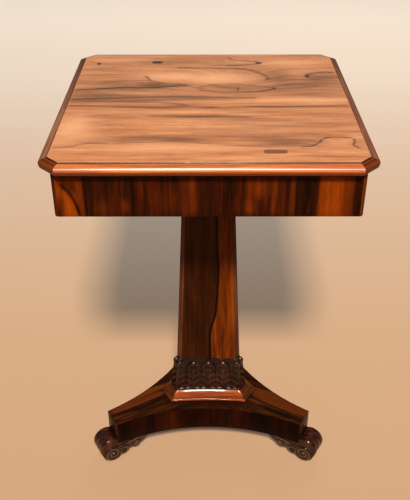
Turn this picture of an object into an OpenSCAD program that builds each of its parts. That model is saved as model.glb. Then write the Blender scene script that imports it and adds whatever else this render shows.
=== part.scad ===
// Square occasional table: a moulded top with canted corners over a veneered frieze,
// a three-sided tapered column with a carved leaf collar, and a hollow-sided
// three-armed platform on scroll feet. Z = 0 is the floor, the viewer stands on -Y.

/* [Top] */
// Width of the top over its moulding
top_w = 500; // [440:5:600]
// Depth of the top over its moulding
top_d = 500; // [440:5:600]
// Length that each canted corner takes off a side
corner_cant = 26.5; // [18:0.5:40]
// Thickness of the board under the veneer
board_t = 16; // [13:0.5:24]
// Thickness of every veneer sheet
veneer_t = 1.5; // [1:0.1:2.5]
// Width of the moulding that edges the board
moulding_w = 13; // [9:0.5:16]
// Height of the moulding's widest line over its underside
moulding_belly = 10.2; // [7:0.1:12]
// How far the moulding's underside tucks in
moulding_tuck = 4; // [1:0.5:6]
// Step down from the top's veneer to its moulding
quirk = 1.5; // [0.5:0.1:2.5]

/* [Frieze] */
// Height of the frieze
frieze_h = 75.5; // [55:0.5:110]
// How far the frieze stands in from the widest line of the top
frieze_set = 17; // [16.5:0.5:40]
// Thickness of the frieze rails
rail_t = 20; // [14:0.5:28]
// Width of the square corner posts
post_w = 34; // [28:1:50]
// Radius of the frieze's upright corners
corner_r = 6; // [3:0.5:12]
// Thickness of the bearer that joins column and top
bearer_t = 25; // [18:1:35]
// Width of the bearer
bearer_w = 120; // [90:1:180]
// Depth that the bearer's ends are let into the rails
housing = 8; // [4:0.5:12]

/* [Column] */
// Height from the platform to the frieze
column_h = 547; // [400:1:700]
// Distance from the axis to a long face at the foot
shaft_reach = 45.5; // [40:0.5:56]
// Distance from the axis to a long face at the head
head_reach = 28.2; // [24:0.2:38]
// Distance of a narrow face over that of a long face
corner_ratio = 1.61; // [1.45:0.01:1.8]
// Depth of the hollow across a long face at the foot
face_hollow = 3; // [0.5:0.5:6]
// Diameter of the tenon in the bearer
head_tenon_d = 30; // [20:1:40]
// Diameter of the tenon through the platform
foot_tenon_d = 50; // [36:1:60]
// Thickness of the wedge at its outer end
wedge_t = 5; // [3:0.5:8]
// Depth of the wedge in the tenon
wedge_depth = 38; // [20:1:45]

/* [Leaf collar] */
// Height of the front leaves
leaf_h = 71; // [50:1:100]
// How far the leaves behind show over the front ones
leaf_behind = 8; // [5:0.5:12]
// Height over which a front leaf rounds to its tip
leaf_round = 20; // [10:1:30]
// Height over which a leaf behind rounds to its tip
behind_round = 12; // [6:1:20]
// Thickness of the collar at the foot of a leaf's rib
collar_t = 5.8; // [4:0.2:8]
// How many times as thick the collar is on the narrow faces
corner_share = 1.6; // [1.2:0.05:1.9]
// Depth of the carving between two leaves
leaf_relief = 2; // [0.6:0.2:3]
// Leaf spaces across a long face
leaves = 4; // [3:1:6]
// Height of the fillet under the leaves
fillet_h = 3.5; // [2:0.5:6]
// How far the fillet stands out
fillet_out = 1; // [0.5:0.1:1.6]

/* [Base moulding] */
// Height of the moulding round the foot of the column
base_h = 18; // [12:0.5:26]
// How far it reaches out from the block that it is planted on
base_out = 25; // [20:0.5:30]
// Width of the ledge left over the moulding
ledge_w = 0.8; // [0.5:0.1:1.5]
// Depth of the hollow along its long sides
base_hollow = 4; // [0.5:0.5:6]
// Radius of its lower bead
bead_r = 3.2; // [2:0.1:4.5]
// Width of the step between the slope and the bead
step_w = 1.6; // [0.5:0.1:3]
// How far the slope turns, in degrees, from its middle to either end
slope_turn = 14; // [8:1:20]

/* [Platform] */
// Thickness of the platform with its veneer
platform_t = 55; // [48:1:70]
// Distance from the axis to the end of an arm
arm_reach = 227; // [205:1:260]
// Width of an arm's end
arm_w = 44; // [42:0.5:60]
// Distance from the axis to the middle of a hollow side
waist = 87; // [82:0.5:98]

/* [Feet] */
// Height from the floor to the platform
foot_h = 45; // [42:0.5:56]
// Width of a foot
foot_w = 41; // [32:0.5:42]
// Radius of the upper roll
roll_r = 25.5; // [22:0.5:30]
// How far the roll's centre stands out from the arm's end
roll_out = 13; // [8:0.5:18]
// Height of the roll's centre below the platform
roll_drop = 9; // [5:0.5:13]
// Radius of the volute that stands on the floor
volute_r = 20.3; // [17:0.1:23]
// Radius of the small scroll behind the volute
scroll_r = 14.5; // [12:0.5:16]
// Distance from the volute's centre to the small scroll's
scroll_back = 24; // [20:0.5:28]
// Height of the small scroll over the floor
scroll_lift = 5.5; // [4:0.5:9]
// Radius of the leaf lobe behind the small scroll
lobe_r = 12; // [9:0.5:13]
// Distance from the small scroll's centre to the lobe's
lobe_back = 29; // [26:0.5:33]
// Height of the lobe over the floor
lobe_lift = 12.5; // [10:0.5:16]
// Distance from the lobe's centre to the leaf's tip
leaf_reach = 48; // [34:1:60]
// Number of reeds round a foot
reeds = 3; // [2:1:4]
// Depth of the grooves between the reeds
reed_depth = 2; // [1:0.1:2.6]
// Depth of the carving in the scrolls' faces
sink_depth = 2; // [1:0.1:3]
// Width of the groove that winds in on the volute's face
spiral_w = 3.2; // [2:0.1:4]
// Turns of that groove
spiral_turns = 1.75; // [1.25:0.25:2]
// Diameter of the dowels in the feet
dowel_d = 12; // [8:1:14]
// Depth of a dowel on each side of the joint
dowel_depth = 18; // [12:1:20]

/* [Hidden] */

// Fit round a tenon or dowel
clearance = 0.2;
// Strips across a hollow face
face_steps = 24;
// Steps of a moulded curve
curve_steps = 7;
// Fineness of round cuts
$fn = 72;

top_t = board_t + veneer_t;
board_w = top_w - 2 * moulding_w;
board_d = top_d - 2 * moulding_w;
board_cant = corner_cant - moulding_w * (2 - sqrt(2));
frieze_x = top_w / 2 - frieze_set;
frieze_y = top_d / 2 - frieze_set;

platform_z = foot_h + platform_t;
frieze_z = platform_z + column_h;
top_z = frieze_z + frieze_h;
column_len = column_h + frieze_h - bearer_t;

foot_reach = arm_reach + roll_out + roll_r;
// The rear foot reaches past the top, so the column stands forward of the outline's middle
axis_y = (top_d / 2 - max(top_d / 2, foot_reach)) / 2;

// Corner of an arm's end on the front side, and the radius of the hollow through both corners
arm_x = arm_reach * cos(30) - arm_w / 2 * sin(30);
arm_y = arm_reach * sin(30) + arm_w / 2 * cos(30);
hollow_r = (arm_x * arm_x + (arm_y - waist) * (arm_y - waist)) / (2 * (arm_y - waist));
// Spare width of the blank that the hollow sides are cut from
arm_spare = 6;

roll_x = arm_reach + roll_out;
roll_z = foot_h - roll_drop;
scroll_x = roll_x - scroll_back;
scroll_z = scroll_r + scroll_lift;
lobe_x = scroll_x - lobe_back;
lobe_z = lobe_r + lobe_lift;
// Where the dowels stand, as distances from the axis
dowel_x = [scroll_x, scroll_x - lobe_back];

module at_axis() translate([0, axis_y, 0]) children();

// Solid through rings of points, each clockwise when seen from beyond the last ring
module loft(rings) {
    n = len(rings[0]);
    last = len(rings) - 1;
    sides = [
        for (i = [0 : last - 1], j = [0 : n - 1], half = [0, 1])
            let (a = i * n + j, b = i * n + (j + 1) % n)
                half == 0 ? [a, b, b + n] : [a, b + n, a + n]
    ];
    start_cap = [for (j = [n - 1 : -1 : 0]) j];
    end_cap = [for (j = [0 : n - 1]) last * n + j];
    polyhedron([for (r = rings) each r], concat([start_cap], sides, [end_cap]), convexity = 6);
}

// Points of an elliptical arc about c
function arc(c, rx, ry, from, to, steps) = [
    for (i = [0 : steps])
        let (a = from + (to - from) * i / steps)
            [c[0] + rx * cos(a), c[1] + ry * sin(a)]
];

// The top

function canted(w, d, cant) = [
    [-w / 2, -d / 2 + cant], [-w / 2 + cant, -d / 2],
    [w / 2 - cant, -d / 2], [w / 2, -d / 2 + cant],
    [w / 2, d / 2 - cant], [w / 2 - cant, d / 2],
    [-w / 2 + cant, d / 2], [-w / 2, d / 2 - cant]
];

module board(z, t)
    translate([0, 0, z])
        linear_extrude(height = t)
            polygon(canted(board_w, board_d, board_cant));

module top_board()
    color("peru") at_axis() board(top_z, board_t);

module top_veneer()
    color("chocolate") at_axis() board(top_z + board_t, veneer_t);

// Thumb moulding as distance out from the board and height over the underside
thumb_profile = concat(
    [[0, 0]],
    arc([moulding_w - moulding_tuck, moulding_belly], moulding_tuck, moulding_belly, -90, 0, curve_steps),
    arc(
        [0, moulding_belly], moulding_w, top_t - quirk - moulding_belly,
        90 / curve_steps, 90, curve_steps - 1
    )
);

// A length of the moulding along -Y, mitred at both ends; half is half its length on the board
module thumb_moulding(half)
    loft([
        for (side = [-1, 1])
            [for (p = thumb_profile) [side * (half + p[0] * tan(22.5)), -p[0], p[1]]]
    ]);

module side_moulding(turn, across, along)
    color("sienna") at_axis()
        rotate(turn)
            translate([0, -across / 2, top_z])
                thumb_moulding(along / 2 - board_cant);

module cant_moulding(x, y)
    color("sienna") at_axis()
        translate([x * (board_w - board_cant) / 2, y * (board_d - board_cant) / 2, top_z])
            rotate(atan2(y, x) + 90)
                thumb_moulding(board_cant / sqrt(2));

// The frieze

module bearer_blank()
    translate([-(frieze_x - veneer_t - rail_t + housing), -bearer_w / 2, top_z - bearer_t])
        cube([2 * (frieze_x - veneer_t - rail_t + housing), bearer_w, bearer_t]);

// The rails on the left and right are housed for the bearer's ends
module rail(turn, across, along)
    color("burlywood") at_axis()
        difference() {
            rotate(turn)
                translate([-(along - post_w), -(across - veneer_t), frieze_z])
                    cube([2 * (along - post_w), rail_t, frieze_h]);
            bearer_blank();
        }

module frieze_veneer(turn, across, along)
    color("saddlebrown") at_axis()
        rotate(turn)
            translate([-(along - corner_r), -across, frieze_z])
                cube([2 * (along - corner_r), veneer_t, frieze_h]);

// Corner post in one quarter, rounded outside and rebated for the veneer on both faces
module post(x, y)
    color("sienna") at_axis()
        translate([x * frieze_x, y * frieze_y, frieze_z])
            scale([-x, -y, 1])
                difference() {
                    cube([post_w, post_w, frieze_h]);
                    difference() {
                        translate([-1, -1, -1]) cube([corner_r + 1, corner_r + 1, frieze_h + 2]);
                        translate([corner_r, corner_r, -2]) cylinder(r = corner_r, h = frieze_h + 4);
                    }
                    translate([corner_r, -1, -1]) cube([post_w, veneer_t + 1, frieze_h + 2]);
                    translate([-1, corner_r, -1]) cube([veneer_t + 1, post_w, frieze_h + 2]);
                }

module bearer()
    color("peru") at_axis()
        difference() {
            bearer_blank();
            translate([0, 0, top_z - bearer_t - 1])
                cylinder(d = head_tenon_d + 2 * clearance, h = bearer_t + 2);
        }

// The column: all its long faces and narrow faces draw in towards one point over the top

function taper(z) = 1 - (1 - head_reach / shaft_reach) * z / column_len;

// Half widths of the long and the narrow faces of a section, from their distances to the axis
function half_long(a, d) = sqrt(3) * a - 2 * (2 * a - d) / sqrt(3);
function half_narrow(a, d) = (2 * a - d) / sqrt(3);

// A point on a long face: s runs from -1 to 1 across it, out is square to it, z is over the
// platform, and the narrow faces stand out share times as far
function face_point(s, out, z, share) =
    let (a = shaft_reach * taper(z))
        [
            s * (half_long(a, corner_ratio * a) + out * (2 * share - 1) / sqrt(3)),
            -(a + out - face_hollow * taper(z) * (1 - s * s)),
            z
        ];

// The same on a narrow face, turned to face -Y; out is still that of the long faces
function corner_point(s, out, z, share) =
    let (a = shaft_reach * taper(z))
        [
            s * (half_narrow(a, corner_ratio * a) + out * (2 - share) / sqrt(3)),
            -(corner_ratio * a + out * share),
            z
        ];

function turned(p, angle) = [
    p[0] * cos(angle) - p[1] * sin(angle),
    p[0] * sin(angle) + p[1] * cos(angle)
];

function across(i) = 2 * i / face_steps - 1;

function core_section(z) = [
    for (k = [0 : 2], i = [0 : face_steps])
        turned(face_point(across(i), -veneer_t * taper(z), z, 1), 120 * k)
];

module wedge_shape()
    translate([-foot_tenon_d, 0, -platform_t])
        rotate([90, 0, 90])
            linear_extrude(height = 2 * foot_tenon_d)
                polygon([
                    [-wedge_t / 2, 0], [wedge_t / 2, 0],
                    [wedge_t / 8, wedge_depth], [-wedge_t / 8, wedge_depth]
                ]);

module foot_tenon()
    translate([0, 0, -platform_t]) cylinder(d = foot_tenon_d, h = platform_t + 1);

// The block at the foot of the core, which the base moulding is planted on
block_a = shaft_reach;
block_d = corner_ratio * shaft_reach + (collar_t + fillet_out) * (corner_share - 1);

module foot_block()
    linear_extrude(height = base_h)
        polygon([
            for (k = [0 : 2], side = [-1, 1])
                turned([side * half_long(block_a, block_d), -block_a], 120 * k)
        ]);

module column_core()
    color("burlywood") at_axis()
        translate([0, 0, platform_z]) {
            foot_block();
            translate([0, 0, base_h])
                linear_extrude(height = column_len - base_h, scale = taper(column_len) / taper(base_h))
                    polygon(core_section(base_h));
            translate([0, 0, column_len - 1]) cylinder(d = head_tenon_d, h = bearer_t + 1);
            difference() {
                foot_tenon();
                wedge_shape();
            }
        }

module column_wedge()
    color("peru") at_axis()
        translate([0, 0, platform_z])
            intersection() {
                foot_tenon();
                wedge_shape();
            }

// Profile of a veneer from the base moulding to the head, thinning with the taper
veneer_profile = [
    [-veneer_t * taper(base_h), base_h], [0, base_h],
    [0, column_len], [-veneer_t * taper(column_len), column_len]
];

// A piece on a long or a narrow face, from its profile at each step across
module long_face_strip(profiles, share)
    loft([
        for (i = [0 : face_steps])
            [for (p = profiles[i]) face_point(across(i), p[0], p[1], share)]
    ]);

module corner_strip(steps, profiles, share)
    loft([
        for (i = [0 : steps])
            [for (p = profiles[i]) corner_point(2 * i / steps - 1, p[0], p[1], share)]
    ]);

module on_platform(turn)
    at_axis() translate([0, 0, platform_z]) rotate(turn) children();

module column_face(turn)
    color("saddlebrown") on_platform(turn)
        long_face_strip([for (i = [0 : face_steps]) veneer_profile], 1);

module column_corner(turn)
    color("sienna") on_platform(turn)
        corner_strip(1, [veneer_profile, veneer_profile], 1);

// The leaf collar: u is 0 on the rib of a front leaf and 1 midway between two of them

corner_steps = 8;
leaf_rows = 8;
// Thickness of the leaves behind over that of the collar
behind_share = 0.22;
collar_foot = base_h + fillet_h;

function front_tip(u) = base_h + leaf_h - leaf_round * (1 - sqrt(1 - u * u));

function behind_tip(u) = max(
    front_tip(u) + 0.8,
    base_h + leaf_h + leaf_behind - behind_round * (1 - sqrt(1 - (1 - u) * (1 - u)))
);

// How far a front leaf stands out at t, from 0 at its foot to 1 at its tip
function leaf_out(t, u) =
    (collar_t - leaf_relief * u * u * min(1, 0.2 + 2.5 * t)) * (1 - 0.25 * t - 0.45 * pow(t, 4));

function leaf_profile(u) =
    let (tip = front_tip(u), top = behind_tip(u), behind = collar_t * behind_share)
        concat(
            [[0, base_h], [collar_t + fillet_out, base_h], [collar_t + fillet_out, collar_foot]],
            [
                for (r = [0 : leaf_rows])
                    let (t = r / leaf_rows)
                        [leaf_out(t, u), collar_foot + (tip - collar_foot) * t]
            ],
            [[behind, tip + (top - tip) * 0.1], [behind * 0.9, tip + (top - tip) * 0.6]],
            [[behind * 0.4, top], [0, top]]
        );

function leaf_place(i) = let (p = i / face_steps * leaves) 2 * abs(p - round(p));

module collar_face(turn)
    color([0.23, 0.12, 0.06]) on_platform(turn)
        long_face_strip([for (i = [0 : face_steps]) leaf_profile(leaf_place(i))], corner_share);

module collar_corner(turn)
    color([0.23, 0.12, 0.06]) on_platform(turn)
        corner_strip(
            corner_steps,
            [for (i = [0 : corner_steps]) leaf_profile(1 - abs(2 * i / corner_steps - 1))],
            corner_share
        );

// The base moulding: a gently rounded slope down to a step, and a bead below it

slope_top = collar_t + fillet_out + ledge_w;
slope_foot = base_out - 2 * bead_r - step_w;
slope_h = base_h - 2 * bead_r;
slope_mid = atan((slope_foot - slope_top) / slope_h);
slope_r = slope_h / (sin(slope_mid + slope_turn) - sin(slope_mid - slope_turn));
base_profile = concat(
    [[0, 0]],
    arc([base_out - bead_r, bead_r], bead_r, bead_r, -90, 90, curve_steps),
    arc(
        [
            slope_foot - slope_r * cos(slope_mid - slope_turn),
            base_h - slope_r * sin(slope_mid + slope_turn)
        ],
        slope_r, slope_r, slope_mid - slope_turn, slope_mid + slope_turn, curve_steps
    ),
    [[0, base_h]]
);

// The moulding is mitred where it meets the cants; its outside is hollowed along the long sides
module base_moulding(turn)
    color("sienna") on_platform(turn)
        loft([
            for (i = [0 : face_steps])
                let (s = across(i))
                    [
                        for (p = base_profile) [
                            s * (half_long(block_a, block_d) + p[0] * tan(30)),
                            -(block_a + p[0] - (p[0] > 0 ? base_hollow * (1 - s * s) : 0)),
                            p[1]
                        ]
                    ]
        ]);

module base_cant(turn)
    color("sienna") on_platform(turn)
        loft([
            for (s = [-1, 1])
                [
                    for (p = base_profile)
                        [s * (half_narrow(block_a, block_d) + p[0] * tan(30)), -(block_d + p[0]), p[1]]
                ]
        ]);

// The platform

function arm_ends(reach, half) = [
    for (k = [0 : 2], side = [-1, 1]) turned([reach, side * half], 120 * k - 30)
];

module hollow(k, r, z, h)
    rotate(120 * k) translate([0, -(waist + hollow_r), z]) cylinder(r = r, h = h, $fn = 180);

module arms(inset, z, h)
    translate([0, 0, z])
        linear_extrude(height = h)
            polygon(arm_ends(arm_reach - inset, arm_w / 2 + arm_spare));

module hollow_sided(inset, z, h)
    difference() {
        arms(inset, z, h);
        for (k = [0 : 2]) hollow(k, hollow_r + inset, z - 1, h + 2);
    }

core_h = platform_t - veneer_t;

module dowel_holes(z, h)
    for (k = [0 : 2], x = dowel_x)
        rotate(120 * k - 30) translate([x, 0, z]) cylinder(d = dowel_d + 2 * clearance, h = h);

module tenon_hole()
    translate([0, 0, foot_h - 1]) cylinder(d = foot_tenon_d + 2 * clearance, h = platform_t + 2);

module platform_core()
    color("peru") at_axis()
        difference() {
            hollow_sided(veneer_t, foot_h, core_h);
            tenon_hole();
            dowel_holes(foot_h - 1, dowel_depth + 1);
        }

module platform_top_veneer()
    color("saddlebrown") at_axis()
        difference() {
            hollow_sided(0, platform_z - veneer_t, veneer_t);
            tenon_hole();
        }

module platform_side(k)
    color([0.3, 0.15, 0.07]) at_axis()
        intersection() {
            arms(veneer_t, foot_h, core_h);
            difference() {
                hollow(k, hollow_r + veneer_t, foot_h - 1, platform_t);
                hollow(k, hollow_r, foot_h - 2, platform_t + 2);
            }
        }

module platform_end(turn)
    color("sienna") at_axis()
        intersection() {
            hollow_sided(0, foot_h, core_h);
            rotate(turn)
                translate([arm_reach - veneer_t, -arm_w, foot_h - 1])
                    cube([2 * veneer_t, 2 * arm_w, platform_t]);
        }

// The feet, drawn on an arm along +X

// Where two circles cross below the line of their centres
function crossing(c1, r1, c2, r2) =
    let (
        gap = c2 - c1,
        d = norm(gap),
        along = (r1 * r1 - r2 * r2 + d * d) / (2 * d),
        aside = sqrt(r1 * r1 - along * along)
    )
        c1 + along * gap / d + aside * [gap[1], -gap[0]] / d * (gap[0] < 0 ? -1 : 1);

function bearing(c, p) = atan2(p[1] - c[1], p[0] - c[0]);

// Side outline of a foot with its rolls drawn in by inset: over the roll, down to the volute on the
// floor, round the small scroll and the lobe, and up the leaf to its tip
function foot_outline(inset, tip_x) =
    let (
        roll = [roll_x, roll_z],
        volute = [roll_x, volute_r],
        scroll = [scroll_x, scroll_z],
        lobe = [lobe_x, lobe_z],
        rise = sqrt(pow(roll_r - inset, 2) - roll_out * roll_out),
        lean = asin((roll_r - volute_r) / (roll_z - volute_r)),
        crease = crossing(volute, volute_r - inset, scroll, scroll_r - inset),
        leaf_from = lobe + (lobe_r - inset) * [cos(190), sin(190)],
        leaf_mid = [(leaf_from[0] + tip_x) / 2, leaf_from[1] + 7],
        leaf_to = [tip_x, foot_h]
    )
        concat(
            arc(roll, roll_r - inset, roll_r - inset, bearing([0, 0], [-roll_out, rise]), 0, 8),
            arc(roll, roll_r - inset, roll_r - inset, -lean / 2, -lean, 1),
            arc(volute, volute_r - inset, volute_r - inset, -lean, -90, 4),
            arc(volute, volute_r - inset, volute_r - inset, -108, bearing(volute, crease), 2),
            arc(scroll, scroll_r - inset, scroll_r - inset, bearing(scroll, crease) - 6, -176, 6),
            arc(lobe, lobe_r - inset, lobe_r - inset, -40, -170, 6),
            [for (i = [1 : 4]) let (t = i / 4)
                (1 - t) * (1 - t) * leaf_from + 2 * t * (1 - t) * leaf_mid + t * t * leaf_to],
            [[arm_reach, foot_h]]
        );

// Where rings stand across one reed, from -1 to 1
reed_marks = [-1, -0.75, -0.3, 0.3, 0.75];

function reed_inset(mark) = reed_depth * (1 - sqrt(1 - mark * mark));

// The leaf's tip draws in towards the middle of the foot
function tip_at(y) = lobe_x - leaf_reach + abs(y) * 0.3;

foot_stations = concat(
    [for (reed = [0 : reeds - 1], mark = reed_marks)
        [foot_w * (1 / 2 - (reed + (mark + 1) / 2) / reeds), reed_inset(mark)]],
    [[-foot_w / 2, reed_depth]]
);

// Something cut into both side faces of a foot
module carved_faces()
    for (side = [-1, 1])
        translate([0, side * foot_w / 2 + sink_depth, 0])
            rotate([90, 0, 0])
                linear_extrude(height = 2 * sink_depth) children();

spiral_steps = 30;
// Radius of the groove's outer edge at its start and at the eye, and where it starts
spiral_from = volute_r - reed_depth - 3.5;
spiral_to = 5;
spiral_start = 100;

// Groove that winds in clockwise and narrows towards the eye
module spiral_groove()
    polygon([
        for (edge = [0, 1], k = [0 : spiral_steps])
            let (
                t = edge == 0 ? k / spiral_steps : 1 - k / spiral_steps,
                a = spiral_start - 360 * spiral_turns * t,
                r = spiral_from + (spiral_to - spiral_from) * t - edge * spiral_w * (1 - 0.3 * t)
            )
                [roll_x + r * cos(a), volute_r + r * sin(a)]
    ]);

module foot(turn)
    color([0.3, 0.15, 0.07]) at_axis()
        difference() {
            rotate(turn)
                difference() {
                    loft([
                        for (st = foot_stations)
                            [for (p = foot_outline(st[1], tip_at(st[0]))) [p[0], st[0], p[1]]]
                    ]);
                    carved_faces() {
                        spiral_groove();
                        translate([scroll_x, scroll_z]) circle(r = scroll_r / 3, $fn = 24);
                    }
                }
            dowel_holes(foot_h - dowel_depth, dowel_depth + 1);
        }

module foot_dowels()
    color("burlywood") at_axis()
        for (k = [0 : 2], x = dowel_x)
            rotate(120 * k - 30)
                translate([x, 0, foot_h - dowel_depth])
                    cylinder(d = dowel_d, h = 2 * dowel_depth);

top_board();
top_veneer();
side_moulding(0, board_d, board_w);  // moulding_front
side_moulding(90, board_w, board_d);  // moulding_right
side_moulding(180, board_d, board_w);  // moulding_rear
side_moulding(270, board_w, board_d);  // moulding_left
cant_moulding(1, -1);  // cant_front_right
cant_moulding(1, 1);  // cant_rear_right
cant_moulding(-1, 1);  // cant_rear_left
cant_moulding(-1, -1);  // cant_front_left
rail(0, frieze_y, frieze_x);  // rail_front
rail(90, frieze_x, frieze_y);  // rail_right
rail(180, frieze_y, frieze_x);  // rail_rear
rail(270, frieze_x, frieze_y);  // rail_left
post(1, -1);  // post_front_right
post(1, 1);  // post_rear_right
post(-1, 1);  // post_rear_left
post(-1, -1);  // post_front_left
frieze_veneer(0, frieze_y, frieze_x);  // frieze_veneer_front
frieze_veneer(90, frieze_x, frieze_y);  // frieze_veneer_right
frieze_veneer(180, frieze_y, frieze_x);  // frieze_veneer_rear
frieze_veneer(270, frieze_x, frieze_y);  // frieze_veneer_left
bearer();
column_core();
column_wedge();
column_face(0);  // column_face_front
column_face(120);  // column_face_right
column_face(240);  // column_face_left
column_corner(60);  // column_corner_right
column_corner(180);  // column_corner_rear
column_corner(300);  // column_corner_left
collar_face(0);  // collar_face_front
collar_face(120);  // collar_face_right
collar_face(240);  // collar_face_left
collar_corner(60);  // collar_corner_right
collar_corner(180);  // collar_corner_rear
collar_corner(300);  // collar_corner_left
base_moulding(0);  // base_moulding_front
base_moulding(120);  // base_moulding_right
base_moulding(240);  // base_moulding_left
base_cant(60);  // base_cant_right
base_cant(180);  // base_cant_rear
base_cant(300);  // base_cant_left
platform_core();
platform_top_veneer();
platform_side(0);  // platform_side_front
platform_side(1);  // platform_side_right
platform_side(2);  // platform_side_left
platform_end(330);  // platform_end_right
platform_end(90);  // platform_end_rear
platform_end(210);  // platform_end_left
foot(330);  // foot_right
foot(90);  // foot_rear
foot(210);  // foot_left
foot_dowels();
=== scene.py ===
# %% [markdown]
# A square occasional table, dressed in Blender
#
# The table is veneered in rosewood: a figured top with canted corners and a polished edge
# moulding, a plain frieze, a three-sided tapered column with a carved leaf collar, and a
# hollow-sided platform on carved scroll feet. Its solids come packed from the CAD source and
# are loaded as a fixed frame, so every piece made here is placed by them, in metres.

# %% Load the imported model
import math

import bpy
import numpy as np
from mathutils import Matrix, Vector


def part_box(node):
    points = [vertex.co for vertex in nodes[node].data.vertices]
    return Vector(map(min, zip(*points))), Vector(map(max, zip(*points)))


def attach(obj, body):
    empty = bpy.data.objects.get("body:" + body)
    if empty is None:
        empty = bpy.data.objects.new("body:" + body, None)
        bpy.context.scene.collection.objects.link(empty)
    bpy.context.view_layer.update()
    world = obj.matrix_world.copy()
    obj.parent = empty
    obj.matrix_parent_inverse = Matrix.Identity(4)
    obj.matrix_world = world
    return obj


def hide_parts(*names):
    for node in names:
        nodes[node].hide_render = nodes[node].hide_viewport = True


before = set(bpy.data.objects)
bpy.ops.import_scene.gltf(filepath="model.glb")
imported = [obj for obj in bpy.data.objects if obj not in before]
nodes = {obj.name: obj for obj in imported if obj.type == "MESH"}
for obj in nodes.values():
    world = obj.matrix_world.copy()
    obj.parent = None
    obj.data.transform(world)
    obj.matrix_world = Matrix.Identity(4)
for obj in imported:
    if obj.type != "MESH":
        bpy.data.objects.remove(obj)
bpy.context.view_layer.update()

MM = 0.001
print("pieces in the frame:", len(nodes))

# %% [markdown]
# The camera stands where the photographer's did: 1.2 m in front of the column, 1.2 m up, and
# looking 33 degrees down. Those values were fitted to the outline of the table, so here they are
# only turned into a lens and a matrix. The focal length is in pixels of a picture 410 wide.

# %% Camera
PICTURE_WIDTH = 410
FOCAL_PX = 745.33
SENSOR_MM = 36.0
CAMERA_PLACE = (-0.00412, -1.21049, 1.21901)
yaw, pitch, roll = (math.radians(a) for a in (-0.112, 33.10, -0.087))
ahead = Vector((math.sin(yaw) * math.cos(pitch), math.cos(yaw) * math.cos(pitch), -math.sin(pitch)))
level = Vector((math.cos(yaw), -math.sin(yaw), 0.0))
upward = level.cross(ahead)
right = math.cos(roll) * level + math.sin(roll) * upward
above = -math.sin(roll) * level + math.cos(roll) * upward

lens = bpy.data.cameras.new("camera")
lens.sensor_fit = "HORIZONTAL"
lens.sensor_width = SENSOR_MM
lens.lens = FOCAL_PX * SENSOR_MM / PICTURE_WIDTH
camera = bpy.data.objects.new("camera", lens)
bpy.context.scene.collection.objects.link(camera)
turned = Matrix((right, above, -ahead)).transposed().to_4x4()
camera.matrix_world = Matrix.Translation(CAMERA_PLACE) @ turned
bpy.context.scene.camera = camera
print("lens", round(lens.lens, 2), "mm")

# %% [markdown]
# Colours are written as sRGB hex values, as a paint chart gives them, and turned to the linear
# values that Blender mixes. One small helper adds a shader node with its settings and links. Four
# more take up the steps that every wood repeats: noise drawn out along the grain, a tone laid over
# a colour where something says so, the light and dark of the fibres, and the rubbed polish.

# %% Colours and nodes
def linear(code):
    """An sRGB hex colour as the linear colour that Blender's sockets take."""
    parts = [int(code[i:i + 2], 16) / 255 for i in (1, 3, 5)]
    return [c / 12.92 if c <= 0.04045 else ((c + 0.055) / 1.055) ** 2.4 for c in parts] + [1.0]


def connect(node, inputs):
    """Fills a node's inputs, by name or number. A value or a hex colour is set, a socket is linked,
    and of a node the first output in use is linked."""
    for key, value in inputs.items():
        if isinstance(value, bpy.types.Node):
            value = next(out for out in value.outputs if out.enabled)
        if isinstance(value, bpy.types.NodeSocket):
            node.id_data.links.new(value, node.inputs[key])
        else:
            node.inputs[key].default_value = linear(value) if isinstance(value, str) else value


def add(tree, kind, inputs=None, stops=None, points=None, **settings):
    """Adds one shader node with its settings and inputs. stops fill a colour ramp, points a curve."""
    new = tree.nodes.new("ShaderNode" + kind)
    for key, value in settings.items():
        setattr(new, key, value)
    connect(new, inputs or {})
    if stops:
        ramp = new.color_ramp.elements
        while len(ramp) < len(stops):
            ramp.new(0.5)
        for element, (place, colour) in zip(ramp, stops):
            element.position = place
            element.color = linear(colour)
    if points:
        line = new.mapping.curves[0]
        for x, y in points[1:-1]:
            line.points.new(x, y)
        line.points[0].location = points[0]
        line.points[-1].location = points[-1]
        new.mapping.update()
    return new


# %% What every wood repeats
def new_finish(name):
    """A new material, its node tree and its shader."""
    material = bpy.data.materials.new(name)
    material.use_nodes = True
    return material, material.node_tree, material.node_tree.nodes["Principled BSDF"]


def grained(tree, vector, stretch, detail=2.0, **more):
    """Noise over a vector whose three parts are stretched, in waves to a metre."""
    drawn = add(tree, "VectorMath", {0: vector, 1: stretch}, operation="MULTIPLY")
    return add(tree, "TexNoise", {"Vector": drawn, "Scale": 1.0, "Detail": detail, **more})


def stain(tree, colour, tone, felt, clear, full, most=1.0):
    """Lays a tone over a colour: not at all where felt has the value clear, and as strongly as most
    where it has the value full."""
    share = add(tree, "MapRange", {"Value": felt, "From Min": clear, "From Max": full, "To Max": most})
    return add(tree, "Mix", {"Factor": share, 6: colour, 7: tone}, data_type="RGBA")


def fibrous(tree, colour, fibres, least, most):
    """Darkens a colour to least and lightens it to most by its fibres."""
    lift = add(tree, "MapRange", {"Value": fibres, "From Min": 0.3, "From Max": 0.7,
                                  "To Min": least, "To Max": most})
    return add(tree, "VectorMath", {0: colour, 1: lift}, operation="MULTIPLY")


def rubbed(tree, place, scale, detail, least, most):
    """The roughness of a hand-rubbed polish, which differs softly from place to place."""
    cloudy = add(tree, "TexNoise", {"Vector": place, "Scale": scale, "Detail": detail})
    return add(tree, "MapRange", {"Value": cloudy, "From Min": 0.3, "From Max": 0.7,
                                  "To Min": least, "To Max": most})


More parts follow.
